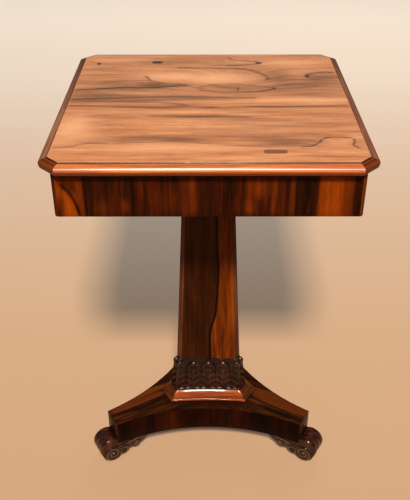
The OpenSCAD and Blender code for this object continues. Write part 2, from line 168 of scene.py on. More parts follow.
# %% [markdown]
# The stage is plain: a pale floor, a soft key light from the front and above, and a faint pale sky
# for the rest. The key stands 49 degrees up: from there the edge moulding shades the upper 20 mm
# of the frieze, and the frieze shades the column down to half its height, as in the photograph.
# White paint would render just white under it, so each wood is seen in the colour it is given.
# The floor is a mid brown that the polish reflects warmly, as a carpet would be. Only the camera
# sees it paler, and paler still far away, so that this light falls on nothing else.

# %% Floor
bpy.ops.object.select_all(action="DESELECT")
# The floor reaches far behind the table, and its paler tones begin 3.6 m in front of its middle
FLOOR_SIZE, FLOOR_SHIFT, NEAR_TONE = 14.0, 3.0, -3.6
bpy.ops.mesh.primitive_plane_add(size=FLOOR_SIZE, location=(0, FLOOR_SHIFT, 0))
floor = bpy.context.object
floor.name = "floor"
floor_paint, tree, matt = new_finish("Painted floor, matt")
spot = add(tree, "SeparateXYZ", {0: add(tree, "TexCoord").outputs["Object"]})
far = add(tree, "MapRange", {"Value": spot.outputs[1], "From Min": NEAR_TONE, "From Max": 0.0})
floor_tones = [(0.10, "#423A38"), (0.24, "#645B50"), (0.50, "#8E8B85"), (0.75, "#B3B5AF"), (1.0, "#C8C8BF")]
paler = add(tree, "ValToRGB", {"Fac": far}, stops=floor_tones)
connect(matt, {"Base Color": "#C29C78", "Roughness": 0.9, "Specular IOR Level": 0.1,
               "Emission Color": paler,
               "Emission Strength": add(tree, "LightPath").outputs["Is Camera Ray"]})
floor.data.materials.append(floor_paint)
print("floor:", FLOOR_SIZE, "m")


# %% Lights and sky
def soft_light(name, place, target, size, watts, colour):
    """A square soft box at a place, turned to face a target."""
    data = bpy.data.lights.new(name, "AREA")
    data.shape = "SQUARE"
    data.size = size
    data.energy = watts
    data.color = linear(colour)[:3]
    box = bpy.data.objects.new(name, data)
    bpy.context.scene.collection.objects.link(box)
    box.location = place
    box.rotation_euler = (Vector(target) - Vector(place)).to_track_quat("-Z", "Y").to_euler()
    print(name, watts, "W")
    return box


soft_light("key", (0.10, -3.85, 4.98), (0, 0, 0.55), 0.75, 470, "#FFF4E4")
fill = soft_light("fill_rear", (1.0, 2.8, 2.4), (0, 0, 0.4), 2.0, 18, "#FFFFFF")
fill.visible_glossy = False

world = bpy.data.worlds.new("pale studio")
bpy.context.scene.world = world
world.use_nodes = True
sky = world.node_tree
direct = add(sky, "LightPath").outputs["Is Camera Ray"]
bright = add(sky, "MapRange", {"Value": direct, "To Min": 0.13, "To Max": 0.85})
connect(sky.nodes["Background"], {"Color": "#F5EEE4", "Strength": bright})

bpy.context.scene.view_settings.view_transform = "Standard"

# %% [markdown]
# Rosewood is a red-brown wood with near-black streaks. Every veneer and carving is the same wood,
# cut from different boards, so one recipe serves them all: streaks many times longer than wide,
# thin ink-dark lines, fine fibres, and open pores that the polish fills only in part. Each finish
# turns the recipe so that its grain runs along the piece, and gives it the tones of its board.
# The pores of the real wood are 0.2 mm wide; they are drawn 0.5 mm wide, or no picture shows them.

# %% The rosewood recipe
ALONG_X, ALONG_Y, UPRIGHT = (0, 0, 0), (0, 0, -90), (0, 90, 0)
# Waves to a metre, along the grain and twice across it: slow bends, ink lines 4 mm apart, fibres
# 1.1 mm apart and pores 0.5 mm apart
BENDS, INK_LINES, FIBRES, PORES = (4, 16, 16), (6, 240, 240), (70, 900, 900), (220, 2000, 2000)
# Where the noise counts as an open pore, from its edge to its middle
PORE_EDGE, PORE_CORE = 0.64, 0.72
# The tone of old wax and painted shade in hollows
WAX_AND_SHADE_TONE = "#120A06"


def rosewood(name, tones, turn=ALONG_X, streak=9.0, run=14.0, bend=6.0, ink=0.5, polish=0.3, gloss=0.25,
             coat=0.0, coat_polish=0.2, coat_ior=1.5, wax_and_hollow_shade=0.0, reach=12.0, figure=None):
    """A polished rosewood. tones are four colours from dark to light; turn (degrees, or a function)
    brings the grain along X; streak is the width of the streaks in mm and run their length against
    it; bend is how far they wander in mm; coat_ior above 1.5 is a thick, hard polish that flashes;
    wax_and_hollow_shade darkens hollows with old wax and painted shade, felt within reach (mm);
    figure paints the piece's own marks."""
    material, tree, shader = new_finish(name)
    place = add(tree, "TexCoord").outputs["Object"]
    along = turn(tree, place) if callable(turn) else add(
        tree, "Mapping", {"Vector": place, "Rotation": [math.radians(a) for a in turn]})
    sway = grained(tree, along, BENDS).outputs["Color"]
    drift = add(tree, "VectorMath", {0: sway, 1: (0, bend * 4 * MM, bend * 4 * MM), 2: along},
                operation="MULTIPLY_ADD")
    across = 1 / (streak * MM)
    streaks = grained(tree, drift, (1 / (streak * run * MM), across, across), 3.0, Roughness=0.6)
    colour = add(tree, "ValToRGB", {"Fac": streaks}, stops=list(zip((0.33, 0.46, 0.56, 0.68), tones)))
    lines = grained(tree, drift, INK_LINES)
    colour = stain(tree, colour, tones[0], lines, 0.55, 0.70, ink)
    if figure:
        colour = figure(tree, place, along, colour)
    fibres = grained(tree, drift, FIBRES)
    colour = fibrous(tree, colour, fibres, 0.86, 1.14)
    pits = grained(tree, drift, PORES, 1.0)
    pores = add(tree, "MapRange", {"Value": pits, "From Min": PORE_EDGE, "From Max": PORE_CORE})
    open_pore = add(tree, "Math", {0: pores, 1: 0.45}, operation="MULTIPLY")
    colour = add(tree, "Mix", {"Factor": open_pore, 6: colour, 7: tones[0]}, data_type="RGBA")
    # Old wax and painted shade, darkest where ambient occlusion finds other surfaces near
    if wax_and_hollow_shade:
        hollow = add(tree, "AmbientOcclusion", {"Distance": reach * MM}, samples=6)
        colour = stain(tree, colour, WAX_AND_SHADE_TONE, hollow.outputs["AO"], 0.9, 0.25, wax_and_hollow_shade)
    relief = add(tree, "Math", {0: fibres, 1: pores}, operation="SUBTRACT")
    connect(shader, {"Base Color": colour,
                     "Roughness": rubbed(tree, place, 22.0, 3.0, polish - 0.05, polish + 0.07),
                     "Specular IOR Level": gloss, "Coat Weight": coat, "Coat Roughness": coat_polish,
                     "Coat IOR": coat_ior, "Normal": add(tree, "Bump", {
                         "Height": relief, "Strength": 0.25, "Distance": 0.12 * MM})})
    return material


# %% [markdown]
# Most of the table's pieces already have their shape in the frame. A real edge is never razor
# sharp: polish and two centuries of dusting round it, and that thin round is what catches the
# light. So each of them is copied, its loose triangles are merged, and a small bevel is put on its
# edges. The copy stands for the node, and the node stays underneath for the physics.

# %% Copies with softened edges
def alone(piece):
    """Makes one piece the only selected one, ready for an operator."""
    if bpy.context.object and bpy.context.object.mode != "OBJECT":
        bpy.ops.object.mode_set(mode="OBJECT")
    bpy.ops.object.select_all(action="DESELECT")
    piece.select_set(True)
    bpy.context.view_layer.objects.active = piece


def merge_points(piece, within):
    """Opens one piece in edit mode and merges the points that lie within so many metres."""
    alone(piece)
    bpy.ops.object.mode_set(mode="EDIT")
    bpy.ops.mesh.select_all(action="SELECT")
    bpy.ops.mesh.remove_doubles(threshold=within)


def settle(piece, slot, material, *stands_for):
    """Gives a finished piece its finish, its body and the nodes that it stands for."""
    piece.data.materials.clear()
    piece.data.materials.append(material)
    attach(piece, "root")
    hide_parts(*stands_for)


EDGE_ANGLE = math.radians(32)


def soften(node, name, slot, material, round_mm):
    """Copies a node, merges it and rounds every edge that is sharper than EDGE_ANGLE."""
    mesh = nodes[node].data.copy()
    mesh.name = name
    piece = bpy.data.objects.new(name, mesh)
    bpy.context.scene.collection.objects.link(piece)
    merge_points(piece, 2e-6)
    bpy.ops.mesh.dissolve_limited(angle_limit=math.radians(0.3))
    bpy.ops.object.mode_set(mode="OBJECT")
    edge = piece.modifiers.new("round", "BEVEL")
    edge.width = round_mm * MM
    edge.segments = 2
    edge.limit_method = "ANGLE"
    edge.angle_limit = EDGE_ANGLE
    edge.use_clamp_overlap = True
    bpy.ops.object.modifier_apply(modifier=edge.name)
    bpy.ops.object.shade_smooth_by_angle(angle=EDGE_ANGLE)
    settle(piece, slot, material, node)


# %% [markdown]
# Figured veneer is the first thing that the eye meets: dark loops where the saw cut through waves
# of growth, smoky patches beside them and long quiet streaks. A ramp over noise can't draw that.
# Each line is a short list of points, as a grainer would draw it with a brush, and the sheet is
# modelled as a fine grid whose points remember how far they lie from every line. The finish then
# reads those marks, so the figure stays with the wood. The top and the frieze's front are such
# sheets, and the carvings start from the same fine grid.

# %% A brush line and a soft patch
def brush(points, step=1.5):
    """A smooth line through the points, as closely set points (a Catmull-Rom curve)."""
    p = np.array([points[0]] + list(points) + [points[-1]], float)
    drawn = []
    for a, b, c, d in zip(p[:-3], p[1:-2], p[2:-1], p[3:]):
        t = np.linspace(0, 1, max(2, int(np.linalg.norm(c - b) / step)), endpoint=False)[:, None]
        drawn.append(0.5 * (2 * b + (c - a) * t + (2 * a - 5 * b + 4 * c - d) * t ** 2
                            + (3 * b - a - 3 * c + d) * t ** 3))
    drawn.append(p[-1:])
    return np.concatenate(drawn)


def mound(x, y, middle, half, power=2.0):
    """1 at the middle of a soft patch, falling away round it."""
    return np.exp(-(np.abs((x - middle[0]) / half[0]) ** power
                    + np.abs((y - middle[1]) / half[1]) ** power))


# %% Marks on a sheet
def remember(mesh, mark, values):
    """Keeps a value for every point of a mesh, under a name that a finish can read."""
    kept = values.astype(np.float32)
    mesh.attributes.new(mark, "FLOAT", "POINT").data.foreach_set("value", kept)


def points_of(mesh):
    """A mesh's points, as an array of rows."""
    co = np.empty(len(mesh.vertices) * 3)
    mesh.vertices.foreach_get("co", co)
    return co.reshape(-1, 3)


def mark_sheet(mesh, x, y, lines, smoke_patches, glow_patches, knots=(), plug=None, waves=()):
    """Keeps the marks of every point (x, y in mm over the sheet) as attributes of the mesh. A line
    has a width, a strength, the reach and depth of the shadow that it casts, and its points."""
    line, smoke, glow, knot = (np.zeros(len(x)) for _ in range(4))
    for width, strength, cast, shade, points in lines:
        path = brush(points)
        reach = max(width * 3, abs(cast) * 2.2)
        near = np.flatnonzero((x > path[:, 0].min() - reach) & (x < path[:, 0].max() + reach)
                              & (y > path[:, 1].min() - reach) & (y < path[:, 1].max() + reach))
        away = np.hypot(x[near, None] - path[None, :, 0], y[near, None] - path[None, :, 1])
        closest = away.argmin(1)
        away = away[np.arange(len(near)), closest]
        heading = np.gradient(path, axis=0)[closest]
        side = heading[:, 0] * (y[near] - path[closest, 1]) - heading[:, 1] * (x[near] - path[closest, 0])
        fade = np.clip(np.minimum(closest, len(path) - 1 - closest) / 5, 0.35, 1)
        line[near] = np.maximum(line[near], strength * fade * np.exp(-(away / width) ** 2))
        if cast:
            smoke[near] = np.maximum(smoke[near], shade * fade * np.exp(-away / abs(cast))
                                     * (side * cast > 0))
    for middle, half, strength, *power in smoke_patches:
        smoke = smoke + (1 - smoke) * strength * mound(x, y, middle, half, *power)
    for middle, half, strength, *power in glow_patches:
        glow = np.maximum(glow, strength * mound(x, y, middle, half, *power))
    for middle, half, power in knots:
        knot = np.maximum(knot, np.clip(1.6 * mound(x, y, middle, half, power) - 0.35, 0, 1))
    patched = np.clip(4 * mound(x, y, *plug) - 1.0, 0, 1) if plug else np.zeros(len(x))
    flow = y.copy()
    for middle, half, push in waves:
        flow += push * mound(x, y, middle, half)
    for name, values in (("figure_line", line), ("figure_smoke", smoke), ("figure_glow", glow),
                         ("figure_knot", knot), ("figure_plug", patched), ("figure_flow", flow * MM)):
        remember(mesh, name, values)


# %% Fine grids and closed sheets
def fine_grid(name, columns, rows, place=None, scale=(1, 1, 1), **where):
    """A flat grid of small faces, the start of a sheet or a carving. place gives each point of the
    grid, as arrays of column and row from 0 to 1, its own place in mm."""
    bpy.ops.object.select_all(action="DESELECT")
    bpy.ops.mesh.primitive_grid_add(x_subdivisions=columns, y_subdivisions=rows, size=1, **where)
    piece = bpy.context.object
    piece.name = piece.data.name = name
    piece.scale = scale
    bpy.ops.object.transform_apply(location=True, rotation=True, scale=True)
    if place:
        co = points_of(piece.data)
        co = np.stack(place(co[:, 0] + 0.5, co[:, 1] + 0.5), axis=1) * MM
        piece.data.vertices.foreach_set("co", co.ravel())
        piece.data.update()
    return piece


def close_sheet(piece, thickness):
    """Extrudes the border of a flat sheet by its thickness, a vector, and closes the back."""
    alone(piece)
    bpy.ops.object.mode_set(mode="EDIT")
    bpy.ops.mesh.select_mode(type="EDGE")
    bpy.ops.mesh.select_all(action="DESELECT")
    bpy.ops.mesh.select_non_manifold(extend=False)
    bpy.ops.mesh.extrude_region_move(TRANSFORM_OT_translate={"value": thickness})
    bpy.ops.mesh.edge_face_add()
    bpy.ops.mesh.select_all(action="SELECT")
    bpy.ops.mesh.normals_make_consistent(inside=False)
    bpy.ops.object.mode_set(mode="OBJECT")
    print(piece.name, "faces:", len(piece.data.polygons))


# %% [markdown]
# The edge moulding is worked from solid rosewood, its grain along its length, and mitred at every
# corner. It is the brightest part of the table, with its thick polish left whole along the crest
# only. Its front and rear lengths are given light orange tones as painted light, the sides duller,
# greyer ones and the corners dark ones as painted shade. Where it meets the panel a quirk has
# filled with old wax, and that line is painted dark round the whole top, wax and painted shade.
# The line's place is known, 237 mm out from the middle, so the finish paints it there. The
# underside is painted darker as painted shade, and on the sides the line and underside are paler.

# %% Edge mouldings: wax and shade
AXIS_Y = -7.75
BOARD_HALF, BOARD_CANT, QUIRK_MM = 237.0, 18.885, 1.3
# Heights in metres, between which the painted shade of the underside darkens it and the thick polish begins
SHADED_UNDERSIDE, CREST = (0.7325, 0.7275), (0.7305, 0.7335)


def from_column(tree, place):
    """A place measured from the column's axis."""
    return add(tree, "VectorMath", {0: place, 1: (0, -AXIS_Y * MM, 0)}, operation="ADD")


def quirk_wax_and_underside_shade(tree, place, along, colour, quirk_wax_and_shade_tone="#24120A", underside_shade_tone="#561A02"):
    """Paints the dark line where the moulding meets the panel, old wax and painted shade, and the
    painted shade of the underside.
    """
    sized = add(tree, "VectorMath", {0: from_column(tree, place)}, operation="ABSOLUTE")
    x, y = add(tree, "SeparateXYZ", {0: sized}).outputs[:2]
    longer = add(tree, "Math", {0: x, 1: y}, operation="MAXIMUM")
    straight = add(tree, "Math", {0: longer, 1: BOARD_HALF * MM}, operation="SUBTRACT")
    both = add(tree, "Math", {0: x, 1: y}, operation="ADD")
    corner = (BOARD_CANT - 2 * BOARD_HALF) * MM * math.sqrt(0.5)
    over = add(tree, "Math", {0: both, 1: math.sqrt(0.5), 2: corner}, operation="MULTIPLY_ADD")
    away = add(tree, "Math", {0: straight, 1: over}, operation="MAXIMUM")
    # The quirk line: old wax and painted shade
    colour = stain(tree, colour, quirk_wax_and_shade_tone, away, QUIRK_MM * 1.6 * MM, QUIRK_MM * 0.8 * MM, 0.92)
    # The underside: painted shade
    height = add(tree, "SeparateXYZ", {0: place}).outputs[2]
    return stain(tree, colour, underside_shade_tone, height, *SHADED_UNDERSIDE, 0.95)


def side_quirk_wax_and_underside_shade(tree, place, along, colour):
    """The same line and underside shade on the sides, in paler tones."""
    return quirk_wax_and_underside_shade(tree, place, along, colour, "#38221A", "#60402A")


# %% Edge mouldings
EDGE_CUT = dict(streak=5, run=30, bend=3, ink=0.3, wax_and_hollow_shade=0.5, reach=4.0)
BRIGHT = dict(polish=0.45, gloss=0.5, coat=1.0, coat_polish=0.36, coat_ior=3.8)
QUIET = dict(polish=0.4, gloss=0.12, coat=0.3)
# The front and rear tones are light orange: painted light, as the lamp falls on the front
front_edge = rosewood("Rosewood moulding, French polished, front and rear",
                      ("#A84A08", "#D2660E", "#EA7A14", "#F69222"), figure=quirk_wax_and_underside_shade,
                      **EDGE_CUT, **BRIGHT)
# The thick polish is whole on the crest only, where it flashes
tree = front_edge.node_tree
height = add(tree, "SeparateXYZ", {0: add(tree, "TexCoord").outputs["Object"]}).outputs[2]
crest = add(tree, "MapRange", {"Value": height, "From Min": CREST[0], "From Max": CREST[1]})
connect(tree.nodes["Principled BSDF"], {"Coat Weight": crest})
# The sides' duller, greyer tones are painted shade
side_edge = rosewood("Rosewood moulding, French polished, sides",
                     ("#5A3522", "#764A34", "#885840", "#98684C"), ALONG_Y, figure=side_quirk_wax_and_underside_shade,
                     **EDGE_CUT, **QUIET)
for side, wood in (("front", front_edge), ("right", side_edge), ("rear", front_edge), ("left", side_edge)):
    soften("moulding_" + side, "edge_moulding_" + side, "edge_moulding", wood, 0.25)
# The corners' dark tones are painted shade
for corner, degrees in (("front_right", -45), ("rear_right", 45), ("rear_left", -45), ("front_left", 45)):
    wood = rosewood("Rosewood moulding, French polished, corner " + corner.replace("_", " "),
                    ("#3E1705", "#5E2608", "#6E300A", "#7E3B12"), (0, 0, degrees),
                    figure=quirk_wax_and_underside_shade, **EDGE_CUT, **QUIET)
    soften("cant_" + corner, "edge_moulding_cant_" + corner, "edge_moulding", wood, 0.25)
print("edge mouldings: 8")

# %% [markdown]
# The frieze is veneered with the grain upright, cut from a darker board than the top. Its front
# is a picture of its own: near-black stripes, an orange sapwood patch at the right and, at the
# left, a quarter of a growth ring. So the front is another fine sheet with marks, and the sides
# and the rear follow the plain recipe. A dark band along its top, under the moulding, is painted
# shadow. The marks are in mm, X from the middle and up from below.

# %% Frieze: the marks of the front
# A line has a width, a strength, its shadow's reach and depth, and its points; a patch has a middle,
# half its size, a strength and, where it isn't an ellipse, a roundness
FRIEZE_LINES = [
    (2.8, 1.00, 8, 0.45, [(-222, 58), (-214, 49), (-205, 36.5), (-197.5, 15), (-194, -2)]),
    (2.2, 0.95, 10, 0.5, [(-185, 78), (-184.5, 50), (-184, 25), (-183, -2)]),
    (3.0, 0.45, 0, 0.0, [(-139, 78), (-137, 40), (-139, -2)]),
    (1.9, 0.80, 5, 0.4, [(-115, 78), (-113, 45), (-114, 15), (-113, -2)]),
    (3.0, 0.55, 0, 0.0, [(-97, 78), (-95, 40), (-98, -2)]),
    (1.2, 0.45, 0, 0.0, [(-60, 78), (-61, 40), (-58, -2)]),
    (1.0, 0.35, 0, 0.0, [(-30, 78), (-31, 40), (-28, -2)]),
    (3.0, 0.55, 0, 0.0, [(1, 78), (2, 40), (0, -2)]),
    (4.0, 0.42, -6, 0.2, [(27, 78), (28, 40), (25, -2)]),
    (2.0, 0.60, 0, 0.0, [(52, 78), (51, 40), (53, -2)]),
    (1.0, 0.35, 0, 0.0, [(76, 78), (79, 45), (75, -2)]),
    (1.8, 0.50, 0, 0.0, [(103, 78), (104, 40), (101, -2)]),
    (1.7, 0.90, 0, 0.0, [(131, 78), (130, 50), (131, 20), (130, -2)]),
    (4.2, 1.00, 0, 0.0, [(144, 78), (146, 58), (147, 35), (144, 12), (145, -2)]),
    (1.6, 0.70, 0, 0.0, [(153, 78), (155, 45), (152, -2)]),
    (1.8, 0.75, 0, 0.0, [(160, 78), (161, 40), (160.5, -2)]),
    (1.4, 0.35, 0, 0.0, [(195, 78), (194, 50), (196, 25)]),
    (2.2, 0.60, -9, 0.8, [(218, 78), (217, 40), (217, -2)]),
]
# The band along the top, at 75.5 mm up, is painted shadow under the moulding; the other patches are smoky
# wood
FRIEZE_SMOKE_AND_SHADOW = [((-226, 12), (10, 24), 0.25, 4), ((30, 0), (150, 7), 0.5, 4),
                ((0, 75.5), (300, 9), 0.95, 6), ((-162, 38), (20, 60), 0.45, 4),
                ((-120, 38), (24, 60), 0.45, 4),
                ((-52, 36), (40, 60), 0.15, 4), ((2, 36), (10, 60), 0.25, 4), ((24, 36), (12, 60), 0.25, 4),
                ((114, 36), (18, 60), 0.55, 4), ((137, 36), (8, 60), 0.6, 4), ((226, 36), (9, 60), 0.95, 4)]
FRIEZE_GLOW = [((-207, 16), (12, 26), 1.0, 3), ((-214, 36), (7, 14), 0.8), ((-192, 30), (6, 50), 0.35, 4),
               ((-226, 46), (10, 28), 0.7), ((-205, 66), (14, 12), 0.3), ((-126, 18), (7, 12), 0.45),
               ((182, 38), (19, 60), 0.70, 8), ((207, 38), (10, 60), 0.4, 4), ((75, 48), (14, 18), 0.35),
               ((-60, 30), (26, 22), 0.12), ((-160, 14), (10, 14), 0.3), ((60, 16), (8, 16), 0.3),
               ((100, 30), (7, 40), 0.25, 4), ((124, 40), (4, 60), 0.4, 4), ((-30, 38), (12, 60), 0.2, 4)]

# %% [markdown]
# Posts with rounded outer edges stand at the corners, so that the frieze turns softly, and the
# veneers lie between them. A sheet's marks are painted in three tones, each a little uneven along
# the grain, as a stain takes. The front sheet is as fine as the top's, with a point every 1.6 mm.

# %% Frieze: painting the marks
CELL_MM = 1.6
FRIEZE_CUT = dict(streak=9, run=18, bend=4, ink=0.6, polish=0.34, gloss=0.04, coat=0.02, coat_polish=0.15)


def marks_of(dark, smoky, light):
    """Paints a sheet's marks in its own dark, smoky and light colours."""
    def figure(tree, place, along, colour):
        breakup = grained(tree, along, (20, 260, 260))
        for mark, tone, least in (("glow", light, 0.75), ("smoke", smoky, 0.6), ("line", dark, 0.85)):
            felt = add(tree, "Attribute", attribute_name="figure_" + mark).outputs["Fac"]
            uneven = add(tree, "MapRange", {"Value": breakup, "From Min": 0.3, "From Max": 0.7,
                                            "To Min": least, "To Max": 1.1})
            part = add(tree, "Math", {0: felt, 1: uneven}, operation="MULTIPLY", use_clamp=True)
            colour = add(tree, "Mix", {"Factor": part, 6: colour, 7: tone}, data_type="RGBA")
        return colour
    return figure


# %% Frieze and posts
front_wood = rosewood("Rosewood veneer, polished, frieze front",
                      ("#1C0802", "#341003", "#451603", "#5A2004"), UPRIGHT,
                      figure=marks_of("#0C0401", "#1B0803", "#9A4005"), **FRIEZE_CUT)
frieze_wood = rosewood("Rosewood veneer, polished, frieze sides",
                       ("#160602", "#301003", "#4A1B04", "#702E05"), UPRIGHT, **FRIEZE_CUT)
post_wood = rosewood("Rosewood corner wood, polished, upright",
                     ("#240C04", "#3C1505", "#542107", "#6A2E0A"), UPRIGHT, **FRIEZE_CUT)
low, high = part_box("frieze_veneer_front")
wide, thick, tall = high - low
frieze_sheet = fine_grid("frieze_front", round(wide / (CELL_MM * MM)), round(tall / (CELL_MM * MM)),
                         location=((low.x + high.x) / 2, low.y, (low.z + high.z) / 2),
                         rotation=(math.pi / 2, 0, 0), scale=(wide, tall, 1))
close_sheet(frieze_sheet, (0, thick, 0))
co = points_of(frieze_sheet.data)
mark_sheet(frieze_sheet.data, co[:, 0] / MM, (co[:, 2] - low.z) / MM,
           FRIEZE_LINES, FRIEZE_SMOKE_AND_SHADOW, FRIEZE_GLOW)
settle(frieze_sheet, "frieze_veneer", front_wood, "frieze_veneer_front")
for side in ("right", "rear", "left"):
    soften("frieze_veneer_" + side, "frieze_" + side, "frieze_veneer", frieze_wood, 0.2)
for corner in ("front_right", "rear_right", "rear_left", "front_left"):
    soften("post_" + corner, "corner_post_" + corner, "corner_wood", post_wood, 0.3)
print("frieze veneers: 4, corner posts: 4")

# %% [markdown]
# The column's front is cut across the border of heartwood and sapwood: near-black at the left,
# warm orange-brown at the right, with a wandering ink-dark line between. That border is one
# curve of the height, so here the finish itself can draw it.

# %% Column: the border of the heartwood
COLUMN_LOW, COLUMN_HIGH, BORDER_SPAN = 0.19, 0.65, 0.05
# The border, as its height and its place to the right of the middle, in mm
BORDER = [(215, 5.5), (248, 5), (276, 7.5), (295, 12.7), (326, 17.4), (357, 19.2), (378, 19.8), (408, 20.8),
          (430, 20.4), (450, 18.2), (489, 17.5), (523, 17.2), (600, 16.5)]
# The ink line lies a little to the left of the border: how far, its half width with its soft edge,
# and its half width without, in mm
INK_OFF, INK_EDGE, INK_CORE = 1.6, 3.4, 1.8
COLUMN_CUT = dict(streak=12, run=18, bend=5, polish=0.3, gloss=0.04, coat=0.08, coat_polish=0.12)


def heartwood_border(tree, place, along, colour):
    """Paints the dark heartwood to the left of the border, and the ink line on it."""
    x, _, height = add(tree, "SeparateXYZ", {0: place}).outputs
    share = add(tree, "MapRange", {"Value": height, "From Min": COLUMN_LOW, "From Max": COLUMN_HIGH})
    points = [((z * MM - COLUMN_LOW) / (COLUMN_HIGH - COLUMN_LOW), 0.5 + off * MM / BORDER_SPAN)
              for z, off in [(COLUMN_LOW / MM, BORDER[0][1])] + BORDER]
    curve = add(tree, "FloatCurve", {"Value": share}, points=points)
    border = add(tree, "MapRange", {"Value": curve, "To Min": -BORDER_SPAN / 2, "To Max": BORDER_SPAN / 2})
    off = add(tree, "Math", {0: x, 1: border}, operation="SUBTRACT")
    dark = add(tree, "ValToRGB", {"Fac": grained(tree, along, (9, 130, 130), 3.0)},
               stops=[(0.35, "#180903"), (0.52, "#280F04"), (0.68, "#3C1706")])
    colour = stain(tree, colour, dark, off, 0.6 * MM, -0.8 * MM, 0.9)
    beside = add(tree, "Math", {0: off, 1: INK_OFF * MM}, operation="ADD")
    apart = add(tree, "Math", {0: beside}, operation="ABSOLUTE")
    return stain(tree, colour, "#0C0503", apart, INK_EDGE * MM, INK_CORE * MM, 0.92)


# %% Column
column_front = rosewood("Rosewood veneer, polished, column front",
                        ("#421A02", "#622803", "#763304", "#8C4106"), UPRIGHT, ink=0.35,
                        figure=heartwood_border, **COLUMN_CUT)
column_wood = rosewood("Rosewood veneer, polished, column",
                       ("#1E0B04", "#3E1807", "#5E290C", "#884210"), UPRIGHT, ink=0.6, **COLUMN_CUT)
narrow_wood = rosewood("Rosewood veneer, polished, column corners",
                       ("#3B1D10", "#572E1C", "#6A3C27", "#7E4C34"), UPRIGHT, ink=0.4,
                       **{**COLUMN_CUT, "gloss": 0.02, "coat": 0.0})
for side in ("front", "right", "left"):
    soften("column_face_" + side, "column_wide_" + side, "column_veneer",
           column_front if side == "front" else column_wood, 0.35)
for side in ("right", "rear", "left"):
    soften("column_corner_" + side, "column_narrow_" + side, "column_veneer", narrow_wood, 0.35)
print("column veneers: 6")

# %% [markdown]
# The collar is a band of carved leaves that the column seems to grow from. Each leaf has a raised
# rib, side veins that part its lobes, and a tip that curls out and catches the light; the tips of
# a second row show between them. A carver cuts it from a strip that is glued round the column, so
# each strip starts as a fine grid, and its points are moved to the carved surface. The rib, the
# veins and the curl are real relief, because a bump alone would vanish from the side.

# %% Collar: the faces that it lies on
# The column, in mm: its foot's height, how far its wide faces lie from the axis at foot and head,
# its length, how many times further out the narrow faces lie and the collar stands there, and how
# hollow the wide faces are
PLATFORM_Z = 100.0
SHAFT_REACH, HEAD_REACH, COLUMN_LEN = 45.5, 28.2, 597.5
CORNER_RATIO, COLLAR_SHARE, FACE_HOLLOW = 1.61, 1.6, 3.0
# The leaves, in mm: their foot, height and rounding, the row behind, and the strip's thickness
BASE_H, LEAF_H, LEAF_ROUND, LEAF_BEHIND, BEHIND_ROUND, COLLAR_T = 18.0, 71.0, 20.0, 8.0, 12.0, 5.8
# The two small fillets under the leaves, as places out from the face and up
FILLETS = [(0, 18), (6.9, 18.0), (7.0, 18.6), (6.9, 19.2), (6.2, 19.4), (6.2, 19.8), (6.8, 20.0),
           (6.8, 20.9), (6.2, 21.3)]
LEAF_ROWS, TIP_ROWS = 56, 12
# Carved surfaces are shaded smooth over every fold flatter than this
CARVED_ANGLE = math.radians(50)


def swung(x, y, degrees):
    """A place beside the column, turned round its axis."""
    c, d = math.cos(math.radians(degrees)), math.sin(math.radians(degrees))
    return x * c - y * d, x * d + y * c + AXIS_Y


def reach_at(z):
    """How far a wide face lies from the axis at a height over the platform."""
    return SHAFT_REACH * (1 - (1 - HEAD_REACH / SHAFT_REACH) * z / COLUMN_LEN)


def faced(s, out, z):
    """A point on a wide face: s across it from -1 to 1, out square to it, z over the platform."""
    reach = reach_at(z)
    half = math.sqrt(3) * reach - 2 * (2 * reach - CORNER_RATIO * reach) / math.sqrt(3)
    hollow = FACE_HOLLOW * reach / SHAFT_REACH * (1 - s * s)
    return s * (half + out * (2 * COLLAR_SHARE - 1) / math.sqrt(3)), -(reach + out - hollow), z


def cornered(s, out, z):
    """The same on a narrow face."""
    reach = reach_at(z)
    half = (2 - CORNER_RATIO) * reach / math.sqrt(3)
    across = s * (half + out * (2 - COLLAR_SHARE) / math.sqrt(3))
    return across, -(CORNER_RATIO * reach + out * COLLAR_SHARE), z


# %% Collar: the carved surface
def carved(t, u, curling):
    """How far a front leaf stands out at t, from 0 at its foot to 1 at its tip, and how dark it is
    painted there, old wax and painted shade in the veins, the valleys and under the curl; u is 0 on
    its rib and 1 in the valley beside it. curling is the strength of the tip's curl."""
    body = (COLLAR_T - 2.0 * u ** 2 * np.minimum(1, 0.2 + 2.5 * t)) * (1 - 0.28 * t)
    lobes = np.abs(np.sin(math.pi * (3.9 * t - 0.95 * u + 0.1))) ** 0.6
    veined = np.clip((u - 0.05) / 0.14, 0, 1) * np.clip((0.86 - t) / 0.05, 0, 1)
    rib = 0.8 * np.exp(-(u / 0.1) ** 2) * (1 - t)
    curl = 2.3 * curling * np.exp(-((t - 0.91) / 0.07) ** 2) * np.sqrt(np.maximum(0, 1 - u ** 2))
    under = -1.5 * curling * np.exp(-((t - 0.76) / 0.06) ** 2) * (1 - u ** 2)
    turned_in = -2.6 * np.clip((t - 0.95) / 0.05, 0, 1) ** 2
    # The veins, the valleys and the place under the curl are painted dark: old wax and painted shade
    waxed = np.maximum(veined * (1 - lobes) ** 1.5, np.clip((u - 0.8) / 0.2, 0, 1) ** 2)
    waxed = np.maximum(waxed, 0.8 * np.exp(-((t - 0.77) / 0.07) ** 2) * (1 - 0.5 * u))
    return np.maximum(0.9, body + 2.4 * (lobes - 0.8) * veined + rib + curl + under + turned_in), waxed


